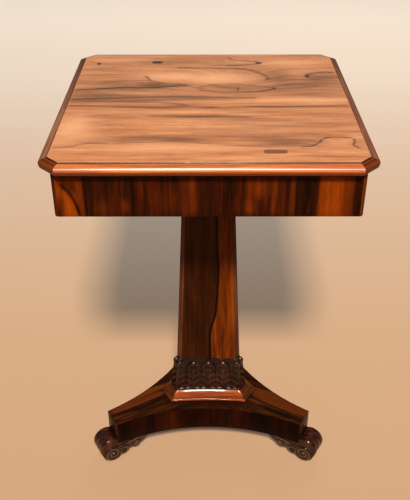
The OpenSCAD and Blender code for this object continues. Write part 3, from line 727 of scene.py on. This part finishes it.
# %% Collar: one strip
def leaf_strip(name, columns, leaf_at, curl_at, surface, turn):
    """One strip of the collar: leaf_at gives u for s and curl_at the curl, surface places it, and
    turn stands it round."""
    rows, hollow = len(FILLETS) + LEAF_ROWS + TIP_ROWS, []

    def place(across, up):
        s, row = 2 * across - 1, np.rint(up * rows).astype(int)
        u = leaf_at(s)
        tip = BASE_H + LEAF_H - LEAF_ROUND * (1 - np.sqrt(1 - u * u))
        top = np.maximum(tip + 0.8, BASE_H + LEAF_H + LEAF_BEHIND
                         - BEHIND_ROUND * (1 - np.sqrt(1 - (1 - u) ** 2)))
        t = np.clip((row - len(FILLETS)) / (LEAF_ROWS - 1), 0, 1)
        out, waxed = carved(t, u, curl_at(s))
        z = FILLETS[-1][1] + 0.2 + (tip - FILLETS[-1][1] - 0.2) * t
        behind = np.clip((row - len(FILLETS) - LEAF_ROWS) / TIP_ROWS, 0, 1)
        late = row >= len(FILLETS) + LEAF_ROWS
        thin = 1.3 + 0.9 * np.exp(-((1 - u) / 0.12) ** 2)
        out = np.where(late, thin * np.sqrt(np.maximum(0, 1 - behind ** 4)), out)
        z = np.where(late, tip + (top - tip) * behind, z)
        foot = row < len(FILLETS)
        step = np.array(FILLETS)[np.clip(row, 0, len(FILLETS) - 1)]
        out, z = np.where(foot, step[:, 0], out), np.where(foot, step[:, 1], z)
        # The row behind and the fillets are painted dark too: old wax and painted shade behind and under the
        # leaves
        hollow.append(np.where(late, 0.85, np.where(foot, 0.35, waxed)))
        x, y, z = surface(s, out, z)
        return *swung(x, y, turn), z + PLATFORM_Z

    strip = fine_grid(name, columns, rows, place)
    # Keeps how dark each point is painted: old wax and painted shade
    remember(strip.data, "wax_and_carved_shade", hollow[0])
    alone(strip)
    # The two sides of the strip are closed by a face each, and then a back joins its foot to its top
    row_len, total = columns + 1, (rows + 1) * (columns + 1)
    ends = set(range(row_len)) | set(range(total - row_len, total))
    for chosen in (range(0, total, row_len), range(columns, total, row_len), None):
        bpy.ops.object.mode_set(mode="EDIT")
        bpy.ops.mesh.select_mode(type="VERT" if chosen else "EDGE")
        bpy.ops.mesh.select_all(action="DESELECT")
        bpy.ops.object.mode_set(mode="OBJECT")
        if chosen:
            for i in chosen:
                strip.data.vertices[i].select = True
        else:
            for edge in strip.data.edges:
                a, b = edge.vertices
                edge.select = a in ends and b in ends and abs(a - b) == 1
        bpy.ops.object.mode_set(mode="EDIT")
        if chosen:
            bpy.ops.mesh.edge_face_add()
        else:
            bpy.ops.mesh.bridge_edge_loops()
    bpy.ops.mesh.select_all(action="SELECT")
    bpy.ops.mesh.normals_make_consistent(inside=False)
    bpy.ops.object.mode_set(mode="OBJECT")
    bpy.ops.object.shade_smooth_by_angle(angle=CARVED_ANGLE)
    return strip


# %% [markdown]
# Three strips cover the wide faces and three the narrow ones. A leaf is bent round each arris, so a
# wide strip has three whole leaves between two halves, and a narrow one has only the two halves.
# At the arrises the tips curl less, so that two strips meet on one line. The carving is waxed and
# brushed; its hollows are painted dark, old wax and painted shade, and the curls catch small soft
# lights.

# %% Collar: strips and finish
LEAVES, ARRIS_CURL = 4, 0.3


def wax_and_carved_shade(tree, place, along, colour):
    """Paints the hollows of the carving dark: old wax and painted shade."""
    felt = add(tree, "Attribute", attribute_name="wax_and_carved_shade").outputs["Fac"]
    return add(tree, "Mix", {"Factor": felt, 6: colour, 7: "#0E0603"}, data_type="RGBA")


carved_wood = rosewood("Rosewood carving, waxed", ("#140804", "#28130B", "#371B11", "#47271A"), UPRIGHT,
                       streak=8, run=8, bend=4, ink=0.4, polish=0.34, gloss=0.12, coat=0.5,
                       coat_polish=0.17, wax_and_hollow_shade=0.8, reach=6.0, figure=wax_and_carved_shade)
for side, turn in (("front", 0), ("right", 120), ("left", 240)):
    strip = leaf_strip("leaf_collar_face_" + side, 128,
                       lambda s: 2 * np.abs((s + 1) / 2 * LEAVES - np.rint((s + 1) / 2 * LEAVES)),
                       lambda s: 1 - (1 - ARRIS_CURL) * np.abs(s) ** 10, faced, turn)
    settle(strip, "carved_wood", carved_wood, "collar_face_" + side)
for side, turn in (("right", 60), ("rear", 180), ("left", 300)):
    strip = leaf_strip("leaf_collar_corner_" + side, 48, lambda s: 1 - np.abs(s),
                       lambda s: ARRIS_CURL + 0 * s, cornered, turn)
    settle(strip, "carved_wood", carved_wood, "collar_corner_" + side)
print("collar strips: 6")

# %% [markdown]
# The moulding under the collar is of solid wood again, long grain along each of its six lengths.
# It is the glossiest part of the base: its gentle slope and the bead under it each catch one
# bright line of the lamp. So the shine sits in a clear, smooth coat over a quiet ground. The front
# length is given lighter tones as painted light, and the sides and corners darker ones as painted
# shade.

# %% Base moulding
BASE_CUT = dict(streak=4, run=30, bend=2, ink=0.3, polish=0.35, gloss=0.06, coat=0.36, coat_polish=0.085,
                wax_and_hollow_shade=0.6, reach=5.0)
# Lighter tones for the lit front, darker ones for the sides and corners: painted light and shade
LIT_FRONT_TONES = ("#6A2A06", "#86390B", "#984610", "#AA541A")
SHADED_SIDE_TONES = ("#482006", "#5E2C0A", "#6E360E", "#7E4416")
SHADED_CORNER_TONES = ("#2C1206", "#442009", "#56290C", "#673413")
for part, side, turn, tones in (
        ("moulding", "front", 0, LIT_FRONT_TONES), ("moulding", "right", -120, SHADED_SIDE_TONES),
        ("moulding", "left", -240, SHADED_SIDE_TONES), ("cant", "right", -60, SHADED_CORNER_TONES),
        ("cant", "rear", -180, SHADED_CORNER_TONES), ("cant", "left", -300, SHADED_CORNER_TONES)):
    wood = rosewood("Rosewood moulding, French polished, foot of the column, "
                    + ("corner " if part == "cant" else "") + side, tones, (0, 0, turn), **BASE_CUT)
    soften(f"base_{part}_{side}", f"foot_moulding_{part}_{side}", "base_moulding", wood, 0.2)
print("foot mouldings: 6")

# %% [markdown]
# Each arm of the platform is veneered with the grain along the arm, from three sheets that meet
# under the column. The finish finds the arm that a point lies on, by which of the three
# directions reaches furthest, and turns the grain to it. A warm streak of sapwood runs along the
# rear of the right arm, and a fainter one along the left. Round the column's foot the platform is
# painted darker, as painted shade.

# %% Platform: the grain along the arms
ARM_TURNS = (-30, 90, 210)
# Shifts of the grain in metres, so that the second and third arm are cut from other boards
BOARD_SHIFTS = (0.31, 0.67)


def turned_back(tree, place, degrees):
    """A place measured from the column's axis, X out along the arm that is turned by so much."""
    centred = from_column(tree, place)
    return add(tree, "Mapping", {"Vector": centred, "Rotation": (0, 0, -math.radians(degrees))})


def along_arms(tree, place):
    """The grain's coordinates, along the arm that the point lies on."""
    turned = [turned_back(tree, place, degrees) for degrees in ARM_TURNS]
    reach = [add(tree, "SeparateXYZ", {0: vector}).outputs[0] for vector in turned]
    chosen, furthest, slices = turned[0], reach[0], 0.0
    for other, far, shift in zip(turned[1:], reach[1:], BOARD_SHIFTS):
        wins = add(tree, "Math", {0: far, 1: furthest}, operation="GREATER_THAN")
        chosen = add(tree, "Mix", {"Factor": wins, 4: chosen, 5: other}, data_type="VECTOR")
        furthest = add(tree, "Math", {0: far, 1: furthest}, operation="MAXIMUM")
        slices = add(tree, "Math", {0: wins, 1: shift, 2: slices}, operation="MULTIPLY_ADD")
    return add(tree, "VectorMath", {0: chosen, 1: add(tree, "CombineXYZ", {2: slices})}, operation="ADD")


# %% Platform: streaks and bands
# Sapwood: the arm, the middle and half size in metres along and across it, the tone and its strength
SAPWOOD = ((-30, (0.172, 0.018), (0.085, 0.022), "#5E2B0A", 0.85),
           (210, (0.160, -0.014), (0.070, 0.010), "#6A3010", 0.7),
           (210, (0.130, -0.030), (0.050, 0.008), "#76380F", 0.7))
# How far from the column's axis the painted shade round its foot begins, and where it is full, in metres
CENTRE_SHADE_OUT, CENTRE_SHADE_IN = 0.125, 0.085


def centre_shade_and_sapwood(tree, place, along, colour):
    """Paints shade round the column's foot, and the warm streaks along the two arms that reach
    forward, their edges made uneven by noise."""
    flat = add(tree, "VectorMath", {0: from_column(tree, place), 1: (1, 1, 0)}, operation="MULTIPLY")
    away = add(tree, "VectorMath", {0: flat}, operation="LENGTH")
    # Painted shade on the platform round the column's foot
    colour = stain(tree, colour, "#260C05", away, CENTRE_SHADE_OUT, CENTRE_SHADE_IN, 0.8)
    for degrees, middle, half, tone, strength in SAPWOOD:
        turned = turned_back(tree, place, degrees)
        local = add(tree, "Mapping", {"Vector": turned, "Location": (*middle, 0.1), "Scale": (*half, 0.05)},
                    vector_type="TEXTURE")
        span = add(tree, "VectorMath", {0: local}, operation="LENGTH")
        wander = grained(tree, turned, (12, 90, 20), 3.0)
        uneven = add(tree, "Math", {0: wander, 1: 0.7, 2: span}, operation="MULTIPLY_ADD")
        colour = stain(tree, colour, tone, uneven, 1.42, 1.12, strength)
    return colour


def front_bands(tree, place, along, colour):
    """Darkens and warms the platform's front by the place along X, as its board did."""
    x = add(tree, "SeparateXYZ", {0: place}).outputs[0]
    share = add(tree, "MapRange", {"Value": x, "From Min": -0.2, "From Max": 0.2})
    warmth = add(tree, "FloatCurve", {"Value": share},
                 points=[(0.0, 0.2), (0.17, 0.2), (0.22, 0.35), (0.26, 0.7), (0.34, 0.75), (0.37, 0.25),
                         (0.48, 0.3), (0.6, 0.4), (0.7, 0.3), (0.8, 0.15), (1.0, 0.12)])
    tone = add(tree, "ValToRGB", {"Fac": warmth},
               stops=[(0.0, "#3C3430"), (0.3, "#967462"), (0.8, "#F0B896"), (1.0, "#F8C8A8")])
    return add(tree, "VectorMath", {0: colour, 1: tone}, operation="MULTIPLY")


# %% Platform
PLATFORM_CUT = dict(ink=0.6, polish=0.3, gloss=0.03, coat=0.06, coat_polish=0.12, wax_and_hollow_shade=0.85, reach=22.0)
top_wood = rosewood("Rosewood veneer, polished, platform top", ("#140904", "#261106", "#381A09", "#5E2D10"),
                    along_arms, streak=9, run=9, bend=5, figure=centre_shade_and_sapwood, **PLATFORM_CUT)
band_wood = rosewood("Rosewood veneer, polished, platform sides",
                     ("#1E0D05", "#321406", "#421A07", "#54240B"), UPRIGHT, streak=14, run=12, bend=4,
                     figure=front_bands, **PLATFORM_CUT)
end_wood = rosewood("Rosewood veneer, polished, platform ends",
                    ("#1C0D07", "#351C10", "#4B2A19", "#5F3924"), UPRIGHT, streak=9, run=12, bend=4,
                    **PLATFORM_CUT)
soften("platform_top_veneer", "platform_top", "platform_veneer", top_wood, 0.6)
for side in ("side_front", "side_right", "side_left", "end_right", "end_rear", "end_left"):
    soften("platform_" + side, "platform_band_" + side, "platform_veneer",
           end_wood if side.startswith("end") else band_wood, 0.3)
print("platform veneers: 7")

# %% [markdown]
# The feet are carved from blocks of solid rosewood: a reeded roll over a volute, a small scroll and
# a leaf that runs under the platform. They are the darkest part, and well polished, so they show
# as a few white glints on near-black. The volute is what tells a scroll foot from a block, and
# its spiral must read from across a room, so each of the six side faces gets its own carving: a
# grid wound round the eye, raised where the spiral ridge runs and sunk between its turns, and
# behind it the small scroll's ring, the veined lobe and the bead along the leaf.

# %% Feet: heights of the carving
FOOT_TURNS = {"right": -30, "rear": 90, "left": 210}
# In mm: the foot's width, the volute's place out from the axis and up, its radius, the step of its
# spiral from turn to turn, the radius of its eye, and where the spiral's crest starts
FOOT_W, VOLUTE_X, VOLUTE_Z, DISC_R, PITCH, EYE_R, CREST_R = 41.0, 239.0, 20.3, 18.8, 7.6, 3.4, 14.6
# The small scroll and the lobe: place out from the axis and up, and radius
SCROLL, LOBE = (215.0, 20.0, 11.5), (186.0, 25.5, 9.0)
# The bead along the leaf: places out from the axis and up, and its radius there
LEAF_BEAD = np.array([(225, 36.8, 1.2), (206, 36.2, 2.4), (188, 37.2, 2.7), (170, 39.4, 2.5),
                      (155, 41.8, 1.9), (147, 43.3, 0.6)])


def volute_height(r, angle, x, z):
    """Height of the volute over the foot's side, in mm, at a radius and an angle round its eye."""
    wave = np.cos(2 * math.pi * (r - CREST_R) / PITCH + angle)
    ridge = 1.1 + 1.0 * np.sign(wave) * np.abs(wave) ** 0.7
    eye = 1.9 * np.sqrt(np.maximum(0, 1 - (r / EYE_R) ** 2)) + 0.3
    inner = np.clip((r - EYE_R) / 1.6, 0, 1)
    rim = np.clip((DISC_R - r) / 1.2, 0, 1)
    return 0.25 + (eye * (1 - inner) + ridge * inner) * np.sqrt(rim * (2 - rim))


def scroll_height(r, angle, x, z):
    """Height of the small scroll: a ring round a boss, cut off where the volute lies over it."""
    ring = 2.0 * np.exp(-((r - 8.0) / 2.0) ** 2) + 1.2 * np.exp(-(r / 2.4) ** 2)
    clear = np.clip((np.hypot(x - VOLUTE_X, z - VOLUTE_Z) - DISC_R + 0.3) / 1.2, 0, 1)
    rim = np.clip((SCROLL[2] - r) / 1.2, 0, 1)
    return 0.2 + ring * clear * np.sqrt(rim * (2 - rim))


def lobe_height(r, angle, x, z):
    """Height of the lobe: a dome with three veins that fan out from above."""
    veins = 0.65 + 0.35 * np.abs(np.cos(1.5 * (angle - math.pi / 2))) ** 0.5
    return 0.2 + 2.0 * veins * np.sqrt(np.maximum(0, 1 - (r / LOBE[2]) ** 2))


# %% Feet: grids on a side face
def on_face(turn, face, x, z, height):
    """A point on a side face of a foot (face is 1 or -1): x out from the axis, z up, and its height
    over the face."""
    return *swung(x, face * (FOOT_W / 2 + height), turn), z


def close_carving(piece, turn, face):
    """Merges a carved grid's seam and gives it a back, sunk 2 mm in the foot."""
    merge_points(piece, 1e-5)
    bpy.ops.object.mode_set(mode="OBJECT")
    inward = Vector((math.sin(math.radians(turn)), -math.cos(math.radians(turn)), 0)) * face
    close_sheet(piece, inward * 2.0 * MM)
    return piece


def carved_disc(name, turn, face, middle, radius, height_at, columns, rows):
    """A disc of carving round a point of a foot's side."""
    def place(around, up):
        r, angle = radius * up, 2 * math.pi * around
        x, z = middle[0] + r * np.cos(angle), middle[1] + r * np.sin(angle)
        return on_face(turn, face, x, z, height_at(r, angle, x, z))
    return close_carving(fine_grid(name, columns, rows, place), turn, face)


def leaf_bead(name, turn, face):
    """The half-round bead along the leaf, thickest over the lobe."""
    def place(along, across):
        known = np.linspace(0, 1, len(LEAF_BEAD))
        x, z, radius = (np.interp(along, known, LEAF_BEAD[:, i]) for i in range(3))
        return on_face(turn, face, x, z + radius * np.cos(math.pi * across),
                       0.1 + 0.8 * radius * np.sin(math.pi * across))
    return close_carving(fine_grid(name, 60, 10, place), turn, face)


# %% [markdown]
# The valleys between the three reeds of the roll and the hollows of the volute are painted dark,
# old wax and painted shade, and the crests lighter, wear and painted highlight. The reeds run
# straight round the roll, so their valleys are found by their place across the foot. The volute
# winds, so its carving remembers its own height, and the dark and the light follow that.

# %% Feet: wax, wear, painted shade and painted highlight
# Half the width of the dark in a valley between two reeds, old wax and painted shade, with its soft edge and
# without, in mm
VALLEY_DARK_EDGE, VALLEY_DARK_CORE = 2.6, 0.8
FOOT_CUT = dict(streak=14, run=8, bend=4, ink=0.4, polish=0.24, gloss=0.2, coat=0.6, coat_polish=0.12,
                wax_and_hollow_shade=0.9, reach=6.0)


def reed_valley_wax_and_shade(turn):
    """Paints the two valleys between the three reeds of a foot's roll dark: old wax and painted shade."""
    def figure(tree, place, along, colour):
        across = add(tree, "SeparateXYZ", {0: turned_back(tree, place, turn)}).outputs[1]
        side = add(tree, "Math", {0: across}, operation="ABSOLUTE")
        apart = add(tree, "Math", {0: side, 1: FOOT_W / 6 * MM}, operation="SUBTRACT")
        near = add(tree, "Math", {0: apart}, operation="ABSOLUTE")
        return stain(tree, colour, "#080402", near, VALLEY_DARK_EDGE * MM, VALLEY_DARK_CORE * MM, 0.85)
    return figure


def lit_crests_and_dark_hollows(tree, place, along, colour):
    """Paints the crests of the carving lighter, wear and painted highlight, and then its hollows dark."""
    felt = add(tree, "Attribute", attribute_name="worn_and_lit_crest").outputs["Fac"]
    # The crest tone: wear and painted highlight
    colour = add(tree, "Mix", {"Factor": felt, 6: colour, 7: "#6A4A36"}, data_type="RGBA")
    return wax_and_carved_shade(tree, place, along, colour)


# %% Feet
def carve_side(side, turn, face):
    """The whole carving of one side of a foot, joined into one piece."""
    name = "foot_carving_" + side + ("_left" if face > 0 else "_right")
    parts = [carved_disc(name, turn, face, (VOLUTE_X, VOLUTE_Z), DISC_R, volute_height, 96, 44),
             carved_disc(name + " scroll", turn, face, SCROLL[:2], SCROLL[2], scroll_height, 56, 22),
             carved_disc(name + " lobe", turn, face, LOBE[:2], LOBE[2], lobe_height, 48, 14),
             leaf_bead(name + " bead", turn, face)]
    alone(parts[0])
    for part in parts:
        part.select_set(True)
    bpy.ops.object.join()
    carving = bpy.context.object
    bpy.ops.object.shade_smooth_by_angle(angle=CARVED_ANGLE)
    co = points_of(carving.data) / MM
    c, d = math.cos(math.radians(turn)), math.sin(math.radians(turn))
    height = np.abs(-co[:, 0] * d + (co[:, 1] - AXIS_Y) * c) - FOOT_W / 2
    # Low places painted dark, old wax and painted shade; high crests lighter, wear and painted highlight
    for mark, felt, most in (("wax_and_carved_shade", (1.5 - height) / 1.3, 1.0),
                             ("worn_and_lit_crest", (height - 1.55) / 0.5, 0.85)):
        remember(carving.data, mark, np.clip(felt, 0, most))
    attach(carving, "root")
    carving.data.materials.append(volute_wood)


volute_wood = rosewood("Rosewood carving, polished, scrolls", ("#0E0402", "#1E0A04", "#2E1107", "#3E1B0C"),
                       UPRIGHT, figure=lit_crests_and_dark_hollows, **FOOT_CUT)
for side, turn in FOOT_TURNS.items():
    foot_wood = rosewood("Rosewood carving, polished, foot " + side,
                         ("#140603", "#2A0F06", "#40190B", "#542612"), UPRIGHT,
                         figure=reed_valley_wax_and_shade(turn), **FOOT_CUT)
    soften("foot_" + side, "scroll_foot_" + side, "carved_wood", foot_wood, 0.3)
    for face in (1, -1):
        carve_side(side, turn, face)
print("feet: 3, carved sides: 6")

# %% [markdown]
# The woods that nobody sees in the room still show from below: mahogany for the rails, the bearer
# and the platform's core, beech for the wedge and dowels. They are planed and bare, so they are
# dull, and their pores break the surface.

# %% Hidden woods
def plain_wood(name, tones, turn, pore):
    """A planed, bare wood: growth lines 14 mm apart and short fibres, as many as pore to a metre."""
    material, tree, shader = new_finish(name)
    place = add(tree, "TexCoord").outputs["Object"]
    along = add(tree, "Mapping", {"Vector": place, "Rotation": [math.radians(a) for a in turn]})
    growth = grained(tree, along, (5, 70, 70), 3.0)
    colour = add(tree, "ValToRGB", {"Fac": growth}, stops=list(zip((0.35, 0.5, 0.66), tones)))
    fibres = grained(tree, along, (90, pore, pore))
    connect(shader, {"Base Color": fibrous(tree, colour, fibres, 0.85, 1.12), "Roughness": 0.62,
                     "Specular IOR Level": 0.3,
                     "Normal": add(tree, "Bump", {"Height": fibres, "Strength": 0.3, "Distance": 0.2 * MM})})
    return material


MAHOGANY = ("#5A3320", "#74452C", "#8A573A")
BEECH = ("#B98F66", "#CBA378", "#D8B48A")
flat_ground = plain_wood("Mahogany ground, planed, along X", MAHOGANY, ALONG_X, 800.0)
deep_ground = plain_wood("Mahogany ground, planed, along Y", MAHOGANY, ALONG_Y, 800.0)
tall_ground = plain_wood("Mahogany ground, planed, upright", MAHOGANY, UPRIGHT, 800.0)
beech_wood = plain_wood("Beech, turned and split", BEECH, UPRIGHT, 1200.0)
for material, pieces in ((flat_ground, ("top_board", "rail_front", "rail_rear", "bearer", "platform_core")),
                         (deep_ground, ("rail_left", "rail_right")), (tall_ground, ("column_core",)),
                         (beech_wood, ("column_wedge", "foot_dowels"))):
    for node in pieces:
        nodes[node].data.materials.clear()
        nodes[node].data.materials.append(material)
print("hidden pieces finished: 10")

# %% [markdown]
# The top is one wide sheet of veneer with its corners cut off. A grid of 1.6 mm cells is fine
# enough for its marks, because the thinnest lines are drawn 2 to 3 mm wide. It is cut at the four
# corners, closed to the thickness of saw-cut veneer, and its arris is rounded a little, because
# that catches a thin light all round the sheet.

# %% The figured sheet: its mesh
low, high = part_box("top_veneer")
wide, deep, thick = high - low
TOP_X, TOP_Y = (low.x + high.x) / 2, (low.y + high.y) / 2
to_corner = (wide - BOARD_CANT * MM) / 2
cells = round(wide / (CELL_MM * MM))
sheet = fine_grid("figured_sheet", cells, cells, location=(TOP_X, TOP_Y, high.z), scale=(wide, deep, 1))
bpy.ops.object.mode_set(mode="EDIT")
for sx, sy in ((1, 1), (1, -1), (-1, -1), (-1, 1)):
    bpy.ops.mesh.select_all(action="SELECT")
    bpy.ops.mesh.bisect(plane_co=(TOP_X + sx * to_corner, TOP_Y + sy * to_corner, high.z),
                        plane_no=(sx, sy, 0), clear_outer=True)
bpy.ops.object.mode_set(mode="OBJECT")
close_sheet(sheet, (0, 0, -thick))
arris = sheet.modifiers.new("arris", "BEVEL")
arris.width, arris.segments, arris.limit_method, arris.angle_limit = 0.6 * MM, 2, "ANGLE", math.radians(60)
bpy.ops.object.modifier_apply(modifier=arris.name)
bpy.ops.object.shade_smooth_by_angle(angle=CARVED_ANGLE)

# %% [markdown]
# The marks are those of this board: loops behind the middle, an almond, a wedge at the left, long
# lines across, knots, and a small plug let in at the front. They are drawn over the photograph.
# Waves bend the fine streaks round the loops, as growth does round a knot.

# %% The figured sheet: its marks
# Lines in mm from the middle of the top, X to the right and Y to the rear. Each has a width, a
# strength, and a smoky shadow: how far it spreads to the left (+) or right (-) of the line, and
# how dark it is.
FIGURE_LINES = [
    # rear tongue
    (1.5, 0.75, -9, 0.35, [(40, 222), (44, 209), (58, 203), (82, 198), (96, 192), (101, 185)]),
    (1.5, 0.70, 0, 0.0, [(101, 186), (94, 181), (78, 179), (62, 174), (33, 169)]),
    # loop behind the middle, open to the left
    (2.2, 0.60, 8, 0.3, [(-60, 160), (0, 158), (32, 155), (52, 155), (70, 151), (84, 142), (97, 127),
                         (105, 114), (108, 103), (103, 92)]),
    # almond
    (1.6, 0.50, -7, 0.3, [(-22, 53), (-8, 64), (14, 73), (42, 77), (72, 70), (98, 63), (118, 55)]),
    (2.0, 0.65, 6, 0.3, [(118, 55), (104, 46), (83, 38), (50, 35), (18, 37), (-5, 43), (-20, 50)]),
    (1.0, 0.35, 0, 0.0, [(14, 60), (40, 67), (66, 66), (92, 56)]),
    (1.2, 0.60, 0, 0.0, [(51, 63), (52, 50), (50, 38)]),
    # eye at the right
    (2.0, 0.80, -8, 0.35, [(178, 112), (181, 122), (190, 129), (202, 134), (218, 137), (236, 134)]),
    (1.6, 0.65, 8, 0.2, [(178, 114), (182, 106), (192, 101), (204, 97)]),
    # wedge at the left
    (1.8, 0.65, -14, 0.45, [(-118, 119), (-112, 112), (-107, 100), (-101, 90), (-74, 78), (-50, 75),
                            (-34, 72)]),
    (2.4, 0.75, -9, 0.65, [(-34, 71), (-50, 67), (-70, 64), (-88, 58), (-116, 56), (-152, 57), (-184, 53),
                           (-206, 50), (-236, 46)]),
    (1.2, 0.30, 0, 0.0, [(-236, 36), (-205, 42), (-180, 48)]),
    # lines across the middle
    (2.6, 0.55, 14, 0.45, [(-236, 2), (-205, 4), (-166, 7), (-118, 12), (-64, 15), (-16, 13), (34, 10),
                           (84, 9)]),
    (1.8, 0.50, -8, 0.3, [(-236, -8), (-184, -5), (-134, -7), (-84, -10), (-50, -17), (-36, -25)]),
    (2.0, 0.60, -6, 0.35, [(-236, -25), (-166, -28), (-118, -31), (-84, -33), (-36, -30), (4, -33),
                           (50, -33), (84, -30), (118, -31), (166, -28), (236, -25)]),
    (2.4, 0.40, 5, 0.3, [(-100, -71), (-66, -70), (-36, -72), (-10, -72), (18, -69), (66, -73)]),
    # thin marks at the rear left
    (0.9, 0.45, 0, 0.0, [(-203, 181), (-160, 181), (-107, 181)]),
    (1.2, 0.50, 0, 0.0, [(-230, 200), (-214, 190), (-206, 178)]),
    # front wavy line
    (1.1, 0.60, 9, 0.2, [(-236, -187), (-208, -185), (-194, -177), (-174, -173), (-150, -175)]),
    (0.9, 0.30, 12, 0.35, [(-150, -175), (-100, -170), (-62, -166), (-36, -168), (-16, -173), (16, -177),
                           (50, -183), (90, -187), (134, -187)]),
    (1.3, 0.80, 7, 0.3, [(134, -187), (153, -183), (166, -172), (173, -160), (186, -152), (210, -153),
                         (221, -159), (220, -170), (217, -180), (226, -194)]),
    (1.0, 0.30, -8, 0.25, [(-170, -142), (-144, -137), (-116, -135), (-90, -138)]),
]
# Soft patches: middle, half size and strength, in mm; smoke is browner, and glow is lighter: partly
# the wood's own and partly painted reflection of the room in the polish, broadest over the rear.
SMOKE = [((-170, 76), (52, 26), 0.42), ((-104, 72), (34, 13), 0.48), ((-205, 30), (50, 22), 0.35),
         ((-70, 68), (40, 9), 0.9), ((175, 66), (70, 40), 0.58), ((128, 108), (26, 40), 0.45),
         ((212, 118), (30, 16), 0.5), ((-150, 46), (90, 9), 0.5), ((-190, 12), (50, 9), 0.6),
         ((-40, -160), (34, 8), 0.4), ((50, 57), (60, 16), 0.4), ((0, 205), (110, 20), 0.2),
         ((-70, 190), (50, 14), 0.2), ((-160, 8), (100, 13), 0.6), ((-90, 5), (110, 8), 0.5),
         ((-90, -155), (90, 14), 0.4), ((120, -172), (45, 12), 0.55), ((-14, -71), (62, 6.5), 0.62),
         ((3, -33), (14, 4), 0.6), ((-190, 150), (45, 30), 0.2), ((60, -150), (90, 16), 0.25),
         ((-150, -60), (60, 14), 0.15), ((-150, -28), (80, 6), 0.35), ((150, -30), (90, 4), 0.3),
         ((40, 174), (50, 6), 0.3), ((110, -110), (100, 50), 0.2)]
GLOW_AND_SHEEN = [((-20, 120), (240, 110), 0.22), ((-60, 114), (70, 26), 1.0), ((8, 104), (72, 30), 1.0),
        ((150, 190), (80, 24), 0.7), ((-160, 205), (70, 12), 0.6), ((150, 0), (100, 11), 0.9),
        ((-215, -115), (32, 48), 0.8), ((-60, -52), (120, 9), 0.5), ((60, -110), (110, 26), 0.35),
        ((-120, 30), (90, 12), 0.45), ((-60, -190), (150, 14), 0.5), ((190, -175), (26, 14), 0.3)]
# Knots and the patched plug: middle, half size, roundness (2 an ellipse, more is squarer).
KNOTS = [((-97.5, 191), (11, 7.5), 4), ((-208, 183), (4.5, 8), 2), ((96, 187), (7, 6), 2),
         ((181, 115), (5, 8), 2), ((116, 54), (4, 4.5), 2)]
PLUG = ((98.5, -202.5), (17.5, 6.0), 8)
# Waves that turn the streaks round the loops: middle, half size and push in mm.
WAVES = [((62, 187), (58, 15), 22), ((55, 118), (75, 42), 46), ((48, 56), (78, 24), 30),
         ((214, 116), (44, 22), 26), ((-118, 84), (74, 24), -24), ((196, -172), (34, 26), 18)]

co = points_of(sheet.data)
mark_sheet(sheet.data, (co[:, 0] - TOP_X) / MM, (co[:, 1] - TOP_Y) / MM,
           [(1.5 * width, min(1, 1.25 * strength), *rest) for width, strength, *rest in FIGURE_LINES],
           [(middle, half, min(0.95, 1.5 * strength)) for middle, half, strength in SMOKE],
           GLOW_AND_SHEEN, KNOTS, PLUG, WAVES)
print("marks:", len(FIGURE_LINES), "lines,", len(SMOKE) + len(GLOW_AND_SHEEN), "patches,", len(KNOTS), "knots")

# %% [markdown]
# The finish of the top is French polish: many thin coats of shellac, rubbed by hand. It is clear
# and warm, and softly reflects the room. Under it the wood has faded in the sun to a light
# orange-brown, far lighter than the frieze below.

# %% The figured sheet: its finish
def figured_veneer():
    """The faded, figured rosewood of the top, read from the marks on the sheet."""
    material, tree, shader = new_finish("Rosewood veneer, saw cut and French polished, figured top")
    mark = {name: add(tree, "Attribute", attribute_name="figure_" + name).outputs["Fac"]
            for name in ("line", "smoke", "glow", "knot", "plug", "flow")}
    place = add(tree, "TexCoord").outputs["Object"]
    x = add(tree, "SeparateXYZ", {0: place}).outputs[0]
    grain = add(tree, "CombineXYZ", {0: x, 1: mark["flow"]})
    # Broad bands 17 mm wide, streaks of 4 mm, fibres of 1.1 mm and pores of 0.6 mm
    broad = grained(tree, grain, (7, 60, 1), 4.0, Roughness=0.6)
    streaks = grained(tree, grain, (9, 260, 1), 3.0)
    fibres = grained(tree, grain, (60, 900, 1))
    pits = grained(tree, grain, (200, 1800, 1), 1.0)
    cloud = add(tree, "MapRange", {"Value": broad, "From Min": 0.35, "From Max": 0.65,
                                   "To Min": 1.4, "To Max": 0.55})
    smoky = add(tree, "Math", {0: mark["smoke"], 1: cloud}, operation="MULTIPLY", use_clamp=True)
    broken = add(tree, "MapRange", {"Value": streaks, "From Min": 0.38, "From Max": 0.58,
                                    "To Min": 0.5, "To Max": 1.05})
    drawn = add(tree, "Math", {0: mark["line"], 1: broken}, operation="MULTIPLY", use_clamp=True)
    faces_up = add(tree, "SeparateXYZ", {0: add(tree, "NewGeometry").outputs["True Normal"]}).outputs[2]

    colour = add(tree, "ValToRGB", {"Fac": broad},
                 stops=[(0.30, "#B66E46"), (0.44, "#D08759"), (0.58, "#E09868"), (0.72, "#ECA676")])
    colour = stain(tree, colour, "#9C6040", streaks, 0.50, 0.68, 0.62)
    # Glow (lighter wood and painted reflection), smoke, lines, knots and the plug, from the palest
    # tone to the darkest and the patch
    for felt, tone in ((mark["glow"], "#FFBA8C"), (smoky, "#84583E"), (drawn, "#43342A"),
                       (mark["knot"], "#302820"), (mark["plug"], "#805638")):
        colour = add(tree, "Mix", {"Factor": felt, 6: colour, 7: tone}, data_type="RGBA")
    colour = fibrous(tree, colour, fibres, 0.87, 1.15)
    colour = stain(tree, colour, "#6A3A20", pits, PORE_EDGE, PORE_CORE, 0.4)
    # The sheet's own edge, which looks sideways, is painted dark: old wax and painted shade
    colour = stain(tree, colour, "#2C170C", faces_up, 0.5, 0.3, 0.9)
    relief = add(tree, "Bump", {"Height": fibres, "Strength": 0.15, "Distance": 0.1 * MM})
    connect(shader, {"Base Color": colour, "Roughness": rubbed(tree, place, 9.0, 4.0, 0.26, 0.38),
                     "Specular IOR Level": 0.5, "Coat Weight": 0.8, "Coat Roughness": 0.12,
                     "Normal": relief})
    return material


settle(sheet, "figured_veneer", figured_veneer(), "top_veneer")
